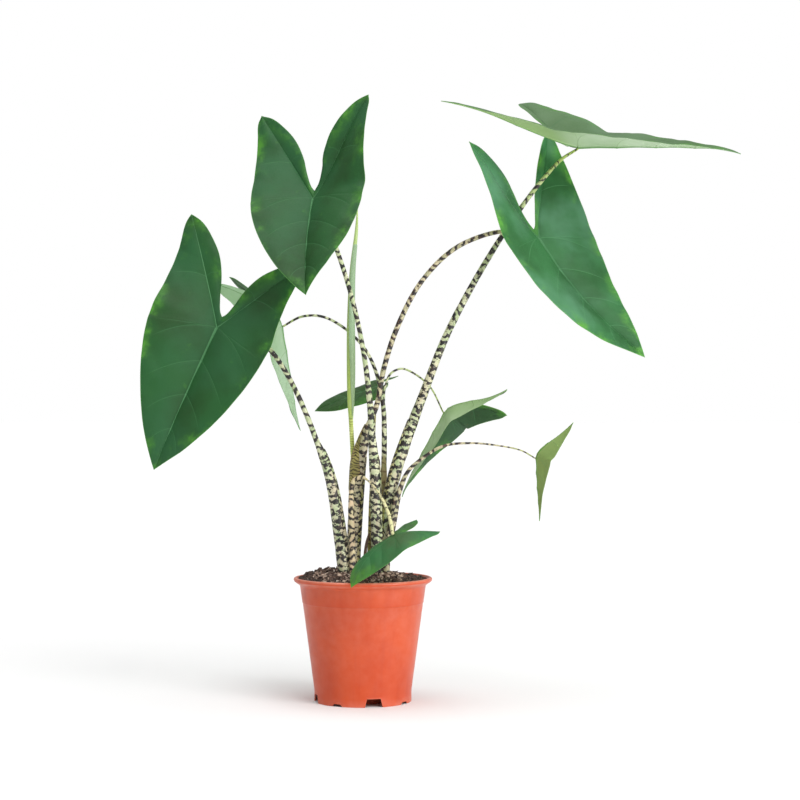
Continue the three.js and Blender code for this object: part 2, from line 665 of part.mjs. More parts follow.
/** Middle surface of a blade in its own frame, one unit long from junction to apex; +Z is its upper side. */
function bladeSurface(blade, grid) {
  const points = [];
  const triangles = [];
  for (const mirror of [1, -1]) {
    const half = mirror > 0 ? blade.left : blade.right;
    const paths = { midrib: midribPath(blade, mirror), lobe: lobeRibPath(half) };
    const outer = marginRows(grid.body, grid.lobe);
    const inner = outer.filter(([, , rib]) => rib <= 0).map(([, , rib]) => innerRow(rib)).reverse();
    for (const [rows, steps, isInner] of [[outer, grid.across, false], [inner, grid.inner, true]]) {
      const start = points.length;
      for (const row of rows) {
        for (const { x, y, z } of rulingPoints(blade, half, paths, row, isInner, steps)) {
          points.push([x, mirror * y, z]);
        }
      }
      for (let r = 0; r < rows.length - 1; r += 1) {
        for (let k = 0; k < steps; k += 1) {
          const a = start + r * (steps + 1) + k;
          const [b, c, d] = [a + 1, a + steps + 2, a + steps + 1];
          if (mirror > 0) triangles.push([a, b, c], [a, c, d]);
          else triangles.push([a, c, b], [a, d, c]);
        }
      }
    }
  }
  return { points, triangles };
}

/** Leaf frame to plant frame: heading about +Z from +X, pitch upwards, then roll about the leaf's axis. */
function bladeTurn({ heading, pitch, roll }) {
  return turn(Z_AXIS, radians(heading))
    .multiply(turn(Y_AXIS, -radians(pitch)))
    .multiply(turn(X_AXIS, radians(roll)));
}

/** Gives an open surface a thickness: both faces have the same triangles, and a band closes the edge. */
function thickened(surface, thickness) {
  surface.computeVertexNormals();
  const { position, normal } = surface.attributes;
  const count = position.count;
  const offset = (k, way) => {
    const out = new THREE.Vector3().fromBufferAttribute(normal, k).normalize();
    return new THREE.Vector3().fromBufferAttribute(position, k)
      .addScaledVector(out, way * thickness / 2).toArray();
  };
  const points = [1, -1].flatMap((way) => Array.from({ length: count }, (_, k) => offset(k, way)));
  const index = Array.from(surface.index.array);
  const triangles = [];
  const edges = new Map();
  for (let i = 0; i < index.length; i += 3) {
    const [a, b, c] = index.slice(i, i + 3);
    triangles.push([a, b, c], [a + count, c + count, b + count]);
    for (const [from, to] of [[a, b], [b, c], [c, a]]) {
      if (!edges.delete(`${to} ${from}`)) edges.set(`${from} ${to}`, [from, to]);
    }
  }
  for (const [from, to] of edges.values()) {
    triangles.push([from, from + count, to + count], [from, to + count, to]);
  }
  return geometryFrom(points, triangles);
}

function bladeGeometry(blade, grid) {
  const { points, triangles } = bladeSurface(blade, grid);
  const surface = geometryFrom(points, triangles);
  surface.scale(blade.length, blade.length, blade.length);
  surface.applyQuaternion(bladeTurn(blade));
  surface.translate(...blade.junction);
  return thickened(welded(surface, SEAM), BLADE_THICKNESS);
}

/** A leaf's stalk: its route ends just under the blade at the junction, or just above an overturned one. */
function leafStalk(stalk, blade) {
  const reach = (stalk.joinsAbove ? 1 : -1) * (GAP + stalk.tipRadius + BLADE_THICKNESS / 2);
  const end = new THREE.Vector3(...blade.junction)
    .addScaledVector(Z_AXIS.clone().applyQuaternion(bladeTurn(blade)), reach);
  return { ...stalk, route: [...stalk.route, [...end.toArray(), stalk.tipRadius]] };
}

// ---------------------------------------------------------------- the plant in its pot

const MATERIALS = {
  pot: { color: 0xde6442, roughness: 0.42, metalness: 0 },
  soil: { color: 0x3a2a20, roughness: 0.95, metalness: 0 },
  blade: { color: 0x3e6e3e, roughness: 0.45, metalness: 0 },
  stalk: { color: 0xb9b58a, roughness: 0.55, metalness: 0 },
  spear: { color: 0xa9bf7a, roughness: 0.5, metalness: 0 },
  dry: { color: 0x4a3324, roughness: 0.9, metalness: 0 },
};

const plant = new THREE.Group();

function addPiece(name, geometry, finish) {
  const material = new THREE.MeshStandardMaterial({ ...MATERIALS[finish], flatShading: true });
  const mesh = new THREE.Mesh(geometry, material);
  mesh.name = name;
  plant.add(mesh);
}

const stalks = STALKS.map((stalk, k) => leafStalk(stalk, BLADES[k]));
const rooted = [...stalks, SPEAR_STALK, DRY_STUB];

addPiece('pot', potGeometry(), 'pot');
addPiece('soil', soilGeometry(rooted.map((stalk) => stalkGeometry(stalk, GAP, HOLE_DEPTH))), 'soil');
BLADES.forEach((blade, k) => {
  const grid = blade.length > LARGEST_SMALL_BLADE ? LARGE_GRID : SMALL_GRID;
  addPiece(`petiole_${k + 1}`, stalkGeometry(stalks[k]), 'stalk');
  addPiece(`blade_${k + 1}`, bladeGeometry(blade, grid), 'blade');
});
addPiece('spear_stalk', stalkGeometry(SPEAR_STALK), 'spear');
addPiece('spear', stalkGeometry(SPEAR), 'spear');
addPiece('dry_stub', stalkGeometry(DRY_STUB), 'dry');

export default plant;
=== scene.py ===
"""Alocasia zebrina in its nursery pot: fine leaves, banded leaf stalks, soil and pot around the fixed model.

Lengths are millimetres and angles degrees, until a mesh is written in metres. The blades and stalks follow
the sizes and formulas of the model's solids, on finer grids.
"""

import json
import logging
from dataclasses import dataclass, field
from enum import Enum

import bpy
import numpy as np
from bpy.types import Material, Node, NodeSocket, NodeTree
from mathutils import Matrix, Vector

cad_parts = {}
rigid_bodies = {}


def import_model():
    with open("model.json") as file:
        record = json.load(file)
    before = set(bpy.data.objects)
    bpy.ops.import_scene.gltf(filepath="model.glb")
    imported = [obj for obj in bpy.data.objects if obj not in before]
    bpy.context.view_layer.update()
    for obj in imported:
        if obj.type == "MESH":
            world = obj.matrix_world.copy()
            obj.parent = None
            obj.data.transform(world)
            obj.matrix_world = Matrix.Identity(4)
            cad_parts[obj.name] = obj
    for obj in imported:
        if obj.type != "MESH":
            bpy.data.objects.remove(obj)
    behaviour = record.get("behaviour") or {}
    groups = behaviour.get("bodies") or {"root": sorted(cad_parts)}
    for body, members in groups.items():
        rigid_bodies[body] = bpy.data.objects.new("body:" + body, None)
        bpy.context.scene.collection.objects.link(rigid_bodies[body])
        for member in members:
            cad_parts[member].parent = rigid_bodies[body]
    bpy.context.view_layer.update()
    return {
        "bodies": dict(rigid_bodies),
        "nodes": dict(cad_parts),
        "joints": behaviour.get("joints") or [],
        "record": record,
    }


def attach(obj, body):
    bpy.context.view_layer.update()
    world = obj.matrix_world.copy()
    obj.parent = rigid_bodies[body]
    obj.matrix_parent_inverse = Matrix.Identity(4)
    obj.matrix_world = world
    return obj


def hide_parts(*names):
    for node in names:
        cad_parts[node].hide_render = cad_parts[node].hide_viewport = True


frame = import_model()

LOG = logging.getLogger("alocasia")

Array = np.ndarray
Triple = tuple[float, float, float]
Colour = Triple

MM = 0.001
TINY = 1e-9
X_AXIS, Y_AXIS, Z_AXIS = np.eye(3)
BODY = "root"
SHARP_EDGE = 50  # faces that meet at more than this angle stay crisp
WAVE_LENGTHS = (0.7, 1.6)  # shortest and longest wave of a ripple, against its middle one


class Slot(Enum):
    """Material slots of the record."""

    POT = "pot"
    SOIL = "soil"
    STALK = "stalk"
    BLADE = "blade"
    SPEAR = "spear"
    DRY_SHEATH = "dry_sheath"


# -------------------------------- numbers and grids


def turned(axis: Array, degrees: Array | float) -> Array:
    """Rotation matrices about one unit axis: cos·identity + sin·cross product + (1 − cos)·outer product.

    Args:
        axis: the unit axis, (3,).
        degrees: one angle or an array of them.

    Returns:
        A matrix for each angle, (..., 3, 3).
    """
    angle = np.radians(degrees)
    x, y, z = axis
    cross = np.array([[0, -z, y], [z, 0, -x], [-y, x, 0]])
    cos, sin = np.cos(angle)[..., None, None], np.sin(angle)[..., None, None]
    return cos * np.eye(3) + sin * cross + (1 - cos) * np.outer(axis, axis)


def smooth_rows(places: Array, rows: Array, at: Array) -> Array:
    """Cubic through rows of numbers, whose slope at a row is the gap-weighted mean of the slopes beside it.

    Args:
        places: rising places of the rows, (n,).
        rows: the rows, (n, c).
        at: places to work out, (m,).

    Returns:
        The curve's rows at those places, (m, c).
    """
    gaps = np.diff(places)
    slopes = np.diff(rows, axis=0) / gaps[:, None]
    before, after = gaps[:-1, None], gaps[1:, None]
    inner = (slopes[:-1] * after + slopes[1:] * before) / (before + after)
    knots = np.vstack([slopes[:1], inner, slopes[-1:]])
    k = np.clip(np.searchsorted(places, at, side="right") - 1, 0, len(gaps) - 1)
    width = gaps[k][:, None]
    t = np.clip((at - places[k])[:, None] / width, 0, 1)
    return (
        (1 + 2 * t) * (1 - t) ** 2 * rows[k]
        + t * (1 - t) ** 2 * width * knots[k]
        + t * t * (3 - 2 * t) * rows[k + 1]
        + t * t * (t - 1) * width * knots[k + 1]
    )


def smoothstep(low: float, high: float, value: Array) -> Array:
    """Soft step: 0 below low, 1 above high, 3t² − 2t³ between."""
    t = np.clip((value - low) / (high - low), 0, 1)
    return t * t * (3 - 2 * t)


def ripples(points: Array, wavelength: float, seed: int, waves: int = 24) -> Array:
    """Smooth seeded noise: Σ sin(way·point + phase) / √waves, with waves in random directions.

    Args:
        points: where to work it out, (..., d).
        wavelength: the middle wavelength.
        seed: seed of the random draw.
        waves: how many sine waves.

    Returns:
        Values mostly of −1.5 to 1.5, (...).
    """
    draw = np.random.default_rng(seed)
    ways = draw.normal(size=(waves, points.shape[-1]))
    ways /= np.linalg.norm(ways, axis=1, keepdims=True)
    ways *= 2 * np.pi / (wavelength * draw.uniform(*WAVE_LENGTHS, (waves, 1)))
    phases = draw.uniform(0, 2 * np.pi, waves)
    return np.sin(points @ ways.T + phases).sum(-1) / np.sqrt(waves)


def grid_triangles(rows: int, columns: int, closed: bool = False, flip: bool = False) -> Array:
    """Two triangles for each cell of a grid of points that is stored row by row.

    Args:
        rows: rows of points.
        columns: points in a row.
        closed: whether the last column joins the first.
        flip: whether the faces point the other way.

    Returns:
        Triangles, (n, 3).
    """
    r, k = np.meshgrid(np.arange(rows - 1), np.arange(columns if closed else columns - 1), indexing="ij")
    n = (k + 1) % columns
    a, b = r * columns + k, r * columns + n
    c, d = b + columns, a + columns
    both = np.concatenate([np.stack([a, b, c], -1).reshape(-1, 3), np.stack([a, c, d], -1).reshape(-1, 3)])
    return both[:, ::-1] if flip else both


@dataclass
class Skin:
    """A triangle mesh in millimetres, with named values on its points."""

    points: Array
    triangles: Array
    values: dict[str, Array] = field(default_factory=dict)

    def joined(self, other: "Skin") -> "Skin":
        """This skin and another as one.

        Args:
            other: a skin with the same values.

        Returns:
            The joined skin.
        """
        values = {name: np.concatenate([v, other.values[name]]) for name, v in self.values.items()}
        triangles = np.concatenate([self.triangles, other.triangles + len(self.points)])
        return Skin(np.concatenate([self.points, other.points]), triangles, values)

    def welded(self, tolerance: float = 0.01) -> "Skin":
        """The skin with points that share a place made one, and triangles that lose a corner so dropped.

        Args:
            tolerance: how coarsely places are compared, in millimetres.

        Returns:
            The welded skin.
        """
        keys = np.round(self.points / tolerance).astype(np.int64)
        _, first, place = np.unique(keys, axis=0, return_index=True, return_inverse=True)
        triangles = place.ravel()[self.triangles]
        a, b, c = triangles.T
        triangles = triangles[(a != b) & (b != c) & (c != a)]
        return Skin(self.points[first], triangles, {name: v[first] for name, v in self.values.items()})

    def normals(self) -> Array:
        """Unit normal at each point: the sum of its triangles' cross products.

        Returns:
            The normals, (n, 3).
        """
        a, b, c = (self.points[self.triangles[:, k]] for k in range(3))
        faces = np.cross(b - a, c - a)
        total = np.zeros_like(self.points)
        for corner in range(3):
            np.add.at(total, self.triangles[:, corner], faces)
        return total / np.maximum(np.linalg.norm(total, axis=1, keepdims=True), TINY)

    def thickened(self, above: Array, below: Array) -> "Skin":
        """Two faces, moved out along the normals, and a band between them along every open edge.

        Args:
            above: distance of the upper face at each point.
            below: distance of the lower face at each point.

        Returns:
            A closed skin whose value "under" is 1 on the lower face.
        """
        normal, count = self.normals(), len(self.points)
        upper, lower = self.points + normal * above[:, None], self.points - normal * below[:, None]
        edges = self.triangles[:, [0, 1, 1, 2, 2, 0]].reshape(-1, 2)
        forward, backward = edges @ [count, 1], edges @ [1, count]
        start, end = edges[~np.isin(forward, backward)].T
        band = np.concatenate([
            np.stack([start, start + count, end + count], -1),
            np.stack([start, end + count, end], -1),
        ])
        triangles = np.concatenate([self.triangles, self.triangles[:, ::-1] + count, band])
        values = {name: np.concatenate([v, v]) for name, v in self.values.items()}
        values["under"] = np.repeat([0.0, 1.0], count)
        return Skin(np.concatenate([upper, lower]), triangles, values)

    def to_object(self, name: str, finish: Material, slot: Slot, *nodes: str) -> None:
        """Makes the piece's mesh and object, rides it on the body and hides the model's nodes that it
        replaces.

        Args:
            name: the piece's name.
            finish: its material.
            slot: the record's material slot that it belongs to; it is not used.
            *nodes: the model's nodes that it replaces.
        """
        mesh = bpy.data.meshes.new(name)
        count = len(self.triangles)
        mesh.vertices.add(len(self.points))
        mesh.vertices.foreach_set("co", (self.points * MM).astype(np.float32).ravel())
        mesh.loops.add(3 * count)
        mesh.loops.foreach_set("vertex_index", self.triangles.astype(np.int32).ravel())
        mesh.polygons.add(count)
        mesh.polygons.foreach_set("loop_start", np.arange(0, 3 * count, 3, dtype=np.int32))
        mesh.update(calc_edges=True)
        for label, value in self.values.items():
            kind, key = ("FLOAT_VECTOR", "vector") if value.ndim == 2 else ("FLOAT", "value")
            entries = mesh.attributes.new(label, kind, "POINT").data
            entries.foreach_set(key, value.astype(np.float32).ravel())
        mesh.polygons.foreach_set("use_smooth", np.ones(count, dtype=bool))
        mesh.set_sharp_from_angle(angle=np.radians(SHARP_EDGE))
        mesh.materials.append(finish)
        piece = bpy.data.objects.new(name, mesh)
        bpy.context.scene.collection.objects.link(piece)
        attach(piece, BODY)
        if nodes:
            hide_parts(*nodes)
        LOG.info("%s: %d triangles", name, count)


# -------------------------------- finishes

# Sockets of a Mix node that mixes colours.
MIX_FIRST, MIX_SECOND, MIX_RESULT = 6, 7, 2


def linear(red: int, green: int, blue: int) -> Colour:
    """Screen colour as linear light: share / 12.92 in the darks, ((share + 0.055) / 1.055)^2.4 above.

    Args:
        red, green, blue: the colour, each of 0 to 255.

    Returns:
        The linear colour.
    """
    share = np.array([red, green, blue]) / 255
    value = np.where(share <= 0.04045, share / 12.92, ((share + 0.055) / 1.055) ** 2.4)
    return tuple(float(v) for v in value)


class Kind(Enum):
    """Socket kinds of a node group."""

    NUMBER = "NodeSocketFloat"
    VECTOR = "NodeSocketVector"


@dataclass(frozen=True)
class Patch:
    """Cloudy patches: how fine the noise is, and its values where a patch starts and where it is full."""

    scale: float
    low: float
    high: float


@dataclass(frozen=True)
class Value:
    """A node's output. A sum, difference or product of it adds a Math node to its tree."""

    tree: "Tree"
    socket: NodeSocket

    def __add__(self, other: "Source") -> "Value":
        """This value plus another."""
        return self.tree.math("ADD", self, other)

    def __sub__(self, other: "Source") -> "Value":
        """This value minus another."""
        return self.tree.math("SUBTRACT", self, other)

    def __mul__(self, other: "Source") -> "Value":
        """This value times another."""
        return self.tree.math("MULTIPLY", self, other)


Source = Value | Colour | float


class Tree:
    """Short calls that add nodes to one node tree. A source is a number, a colour or a node's value."""

    def __init__(self, tree: NodeTree) -> None:
        """Wraps a node tree."""
        self.tree = tree

    def add(self, kind: str, **settings: object) -> Node:
        """Adds a node.

        Args:
            kind: the node's type.
            **settings: its settings, by name.

        Returns:
            The node.
        """
        node = self.tree.nodes.new(kind)
        for name, value in settings.items():
            setattr(node, name, value)
        return node

    def feed(self, socket: NodeSocket, source: Source) -> None:
        """Links a value to a socket, or sets the socket to a number or a colour.

        Args:
            socket: the input.
            source: what goes into it.
        """
        if isinstance(source, Value):
            self.tree.links.new(source.socket, socket)
        elif socket.type == "RGBA":
            socket.default_value = (*source, 1.0)
        else:
            socket.default_value = source

    def put(self, node: Node, **sources: Source) -> None:
        """Feeds some inputs of a node, given by name with _ for a space."""
        for name, source in sources.items():
            self.feed(node.inputs[name.replace("_", " ")], source)

    def result(self, kind: str, output: str | int, inputs: dict, **settings: object) -> Value:
        """Adds a node and feeds some of its inputs.

        Args:
            kind: the node's type.
            output: name or index of the output that is wanted.
            inputs: sources, by the name or index of the input.
            **settings: the node's settings, by name.

        Returns:
            The value of that output.
        """
        node = self.add(kind, **settings)
        for key, source in inputs.items():
            self.feed(node.inputs[key], source)
        return Value(self, node.outputs[output])

    def attribute(self, name: str, output: str = "Fac") -> Value:
        """A named value of the mesh."""
        return self.result("ShaderNodeAttribute", output, {}, attribute_name=name)

    def place(self) -> Value:
        """Place on the object, in metres."""
        return self.result("ShaderNodeTexCoord", "Object", {})

    def math(self, operation: str, first: Source, second: Source = 0.0) -> Value:
        """One arithmetic step."""
        return self.result("ShaderNodeMath", 0, {0: first, 1: second}, operation=operation)

    def scaled(self, vector: Value, scale: Triple) -> Value:
        """A vector times a scale along each axis."""
        return self.result("ShaderNodeVectorMath", 0, {0: vector, 1: scale}, operation="MULTIPLY")

    def noise(self, vector: Value, scale: Source = 1.0, detail: float = 2.0, roughness: float = 0.5) -> Value:
        """Noise of 0 to 1: detail is how many finer layers it has, and roughness how strong they are."""
        inputs = {"Vector": vector, "Scale": scale, "Detail": detail, "Roughness": roughness}
        return self.result("ShaderNodeTexNoise", "Fac", inputs)

    def cells(self, vector: Value, scale: float) -> Value:
        """Distance of a place from the edge of the cell that it lies in."""
        inputs = {"Vector": vector, "Scale": scale}
        return self.result("ShaderNodeTexVoronoi", "Distance", inputs, feature="DISTANCE_TO_EDGE")

    def span(self, value: Value, low: Source, high: Source, start: float = 0.0, end: float = 1.0) -> Value:
        """Soft step: start below low, end above high, and 3t² − 2t³ of the way between."""
        inputs = {"Value": value, "From Min": low, "From Max": high, "To Min": start, "To Max": end}
        return self.result("ShaderNodeMapRange", "Result", inputs, interpolation_type="SMOOTHSTEP")

    def clouds(self, vector: Value, patch: Patch, detail: float = 2.0) -> Value:
        """Soft patches of plain noise."""
        return self.span(self.noise(vector, patch.scale, detail), patch.low, patch.high)

    def mix(self, share: Source, first: Source, second: Source) -> Value:
        """A colour that has a share of the second, and the rest of the first."""
        inputs = {"Factor": share, MIX_FIRST: first, MIX_SECOND: second}
        return self.result("ShaderNodeMix", MIX_RESULT, inputs, data_type="RGBA")

    def bump(self, height: Value, strength: float, depth: float) -> Value:
        """Normal of a surface with relief, whose depth is in millimetres."""
        inputs = {"Height": height, "Strength": strength, "Distance": depth * MM}
        return self.result("ShaderNodeBump", "Normal", inputs)

    def group(self, made: NodeTree, **sources: Source) -> Value:
        """Result of a node group, whose inputs are given by name."""
        return self.result("ShaderNodeGroup", 0, sources, node_tree=made)


def new_group(name: str, result: str, **inputs: Kind) -> tuple[Tree, dict[str, Value], NodeSocket]:
    """An empty node group with one number as its result.

    Args:
        name: its name.
        result: its output's name.
        **inputs: kinds of its inputs, by name.

    Returns:
        The tree, the values that come in, and the socket that takes the result out.
    """
    made = bpy.data.node_groups.new(name, "ShaderNodeTree")
    for label, kind in inputs.items():
        made.interface.new_socket(label, in_out="INPUT", socket_type=kind.value)
    made.interface.new_socket(result, in_out="OUTPUT", socket_type=Kind.NUMBER.value)
    tree = Tree(made)
    entry, leave = tree.add("NodeGroupInput"), tree.add("NodeGroupOutput")
    return tree, {label: Value(tree, entry.outputs[label]) for label in inputs}, leave.inputs[result]


@dataclass
class Groups:
    """Node groups that several finishes share."""

    line_core: float = 0.4
    line_edge: float = 2.2
    mottle_detail: float = 4.0
    mottle_roughness: float = 0.55
    coarse_scale: Triple = (0.075, 0.075, 0.06)
    coarse_sway: float = 3.4
    fine_scale: Triple = (0.22, 0.22, 0.17)
    fine_sway: float = 1.3
    scrap_scale: Triple = (0.22, 0.22, 0.34)
    scrap_roughness: float = 0.55
    band_edge: float = 0.11

    def __post_init__(self) -> None:
        """Builds each group once."""
        self.lines = self.make_lines()
        self.mottle = self.make_mottle()
        self.bands = self.make_bands()

    def make_lines(self) -> NodeTree:
        """Lines where a phase is a whole number: distance = |fract(phase + ½) − ½|·gap, soft at its edge.

        Returns:
            The group.
        """
        number = Kind.NUMBER
        tree, given, result = new_group("vein lines", "Line", Phase=number, Gap=number, Width=number)
        off = tree.math("FRACT", given["Phase"] + 0.5) - 0.5
        distance = tree.math("ABSOLUTE", off) * given["Gap"]
        core, edge = given["Width"] * self.line_core, given["Width"] * self.line_edge
        tree.feed(result, tree.span(distance, core, edge, 1.0, 0.0))
        return tree.tree

    def make_mottle(self) -> NodeTree:
        """Cloudy patches: noise between two thresholds.

        Returns:
            The group.
        """
        number = Kind.NUMBER
        tree, given, result = new_group(
            "mottle", "Mask", Place=Kind.VECTOR, Scale=number, Low=number, High=number)
        noise = tree.noise(given["Place"], given["Scale"], self.mottle_detail, self.mottle_roughness)
        tree.feed(result, tree.span(noise, given["Low"], given["High"]))
        return tree.tree

    def make_bands(self) -> NodeTree:
        """Zebra bands round a stalk: whole numbers of a swaying phase, torn by a second noise.

        Wrap is the place on the stem in millimetres: radius·cos, radius·sin and the length along it. A band
        shows where |fract(phase + sway) − ½| < cover + torn: whole bands on a slim stalk, scraps on a trunk.

        Returns:
            The group.
        """
        number = Kind.NUMBER
        tree, given, result = new_group(
            "zebra bands", "Mask", Wrap=Kind.VECTOR, Phase=number, Waver=number, Cover=number, Break=number)
        wrap = given["Wrap"]
        coarse = tree.noise(tree.scaled(wrap, self.coarse_scale), detail=1.0)
        fine = tree.noise(tree.scaled(wrap, self.fine_scale), detail=1.0)
        sway = (coarse - 0.5) * self.coarse_sway + (fine - 0.5) * self.fine_sway
        phase = given["Phase"] + sway * given["Waver"]
        off = tree.math("ABSOLUTE", tree.math("FRACT", phase) - 0.5)
        scrap = tree.noise(tree.scaled(wrap, self.scrap_scale), roughness=self.scrap_roughness)
        reach = given["Cover"] + (scrap - 0.5) * given["Break"]
        tree.feed(result, tree.span(reach - off, -self.band_edge, self.band_edge))
        return tree.tree

    def patches(self, tree: Tree, place: Value, patch: Patch) -> Value:
        """Places the mottle group in a material."""
        return tree.group(self.mottle, Place=place, Scale=patch.scale, Low=patch.low, High=patch.high)


def new_finish(name: str) -> tuple[Material, Tree, Node]:
    """A material with a Principled shader.

    Args:
        name: the material's name.

    Returns:
        The material, its tree and the shader.
    """
    material = bpy.data.materials.new(name)
    material.use_nodes = True
    material.node_tree.nodes.clear()
    tree = Tree(material.node_tree)
    shader = tree.add("ShaderNodeBsdfPrincipled")
    output = tree.add("ShaderNodeOutputMaterial")
    material.node_tree.links.new(shader.outputs["BSDF"], output.inputs["Surface"])
    return material, tree, shader


@dataclass(frozen=True)
class LeafFinish:
    """Satin leaf: dark green above with paler veins and yellow-green mottling, pale below."""

    name: str
    upper: Colour = linear(32, 84, 38)
    deep: Colour = linear(28, 68, 26)
    blue: Colour = linear(38, 90, 52)
    fresh: Colour = linear(74, 138, 42)
    rib: Colour = linear(84, 138, 92)
    vein: Colour = linear(54, 108, 62)
    rim: Colour = linear(68, 130, 48)
    under: Colour = linear(172, 196, 158)
    under_shade: Colour = linear(142, 174, 122)
    under_vein: Colour = linear(120, 152, 98)
    under_lobe: Colour = linear(146, 180, 108)
    lobe_tone: float = 0.3
    deep_patches: Patch = Patch(14.0, 0.38, 0.66)
    blue_patches: Patch = Patch(9.0, 0.44, 0.7)
    blue_tone: float = 0.7
    margin_patches: Patch = Patch(26.0, 0.46, 0.62)
    margin_reach: tuple[float, float] = (1.0, 15.0)
    specks: Patch = Patch(110.0, 0.44, 0.64)
    speck_base: float = 0.4
    speck_tone: float = 0.5
    inner_specks: Patch = Patch(70.0, 0.64, 0.84)
    inner_tone: float = 0.35
    shade_patches: Patch = Patch(14.0, 0.35, 0.68)
    vein_width: float = 0.34
    vein_tone: float = 0.55
    rib_edge: tuple[float, float] = (0.55, 1.15)
    under_rib_tone: float = 0.7
    rim_edge: tuple[float, float] = (0.2, 0.9)
    rim_tone: float = 0.7
    cell_scale: float = 260.0
    cell_edge: float = 0.25
    cell_height: float = 0.8
    swell_scale: float = 30.0
    swell_height: float = 7.0
    bump_strength: float = 0.35
    bump_depth: float = 0.25
    gloss: float = 0.5
    under_gloss: float = 0.22
    cell_gloss: float = 0.3
    specular: float = 0.28

    def above(self, tree: Tree, groups: Groups, line: Value, rib: Value) -> Value:
        """Colour of the upper face: cloudy greens, mottling along the margin, veins, ribs and rim.

        Args:
            tree: the material's tree.
            groups: the shared groups.
            line: how strongly a side vein shows.
            rib: how strongly a rib shows.

        Returns:
            The colour.
        """
        place, margin = tree.place(), tree.attribute("margin")
        green = tree.mix(groups.patches(tree, place, self.deep_patches), self.upper, self.deep)
        green = tree.mix(groups.patches(tree, place, self.blue_patches) * self.blue_tone, green, self.blue)
        near = tree.span(margin, *self.margin_reach, 1.0, 0.0)
        speckled = groups.patches(tree, place, self.specks) * self.speck_tone + self.speck_base
        spots = speckled * (groups.patches(tree, place, self.margin_patches) * near)
        inside = groups.patches(tree, place, self.inner_specks) * self.inner_tone
        green = tree.mix(tree.math("MAXIMUM", spots, inside), green, self.fresh)
        green = tree.mix(line * self.vein_tone, green, self.vein)
        green = tree.mix(rib * tree.attribute("rib_tone"), green, self.rib)
        return tree.mix(tree.span(margin, *self.rim_edge, self.rim_tone, 0.0), green, self.rim)

    def below(self, tree: Tree, groups: Groups, line: Value, rib: Value) -> Value:
        """Colour of the lower face: two cloudy pale greens, another on the lobes, veins and ribs.

        Args:
            tree: the material's tree.
            groups: the shared groups.
            line: how strongly a side vein shows.
            rib: how strongly a rib shows.

        Returns:
            The colour.
        """
        pale = tree.mix(groups.patches(tree, tree.place(), self.shade_patches), self.under, self.under_shade)
        pale = tree.mix(tree.attribute("lobe") * self.lobe_tone, pale, self.under_lobe)
        pale = tree.mix(line * self.vein_tone, pale, self.under_vein)
        return tree.mix(rib * self.under_rib_tone, pale, self.rim)

    def make(self, groups: Groups) -> Material:
        """Builds the material: a colour for each face, cells, swells and veins as bump, and a satin gloss.

        Args:
            groups: the shared groups.

        Returns:
            The material.
        """
        material, tree, shader = new_finish(self.name)
        place, under = tree.place(), tree.attribute("under")
        veins = tree.group(
            groups.lines, Phase=tree.attribute("phase"), Gap=tree.attribute("gap"), Width=self.vein_width)
        line = veins * tree.attribute("fade")
        rib = tree.span(tree.attribute("rib"), *self.rib_edge, 1.0, 0.0)
        colour = tree.mix(under, self.above(tree, groups, line, rib), self.below(tree, groups, line, rib))
        grain = tree.math("MINIMUM", tree.cells(place, self.cell_scale), self.cell_edge)
        swell = tree.noise(place, self.swell_scale, 1.0) * self.swell_height
        relief = swell + (grain * self.cell_height - line)
        tree.put(
            shader,
            Base_Color=colour,
            Normal=tree.bump(relief, self.bump_strength, self.bump_depth),
            Roughness=under * self.under_gloss + self.gloss + grain * self.cell_gloss,
            Specular_IOR_Level=self.specular,
        )
        return material


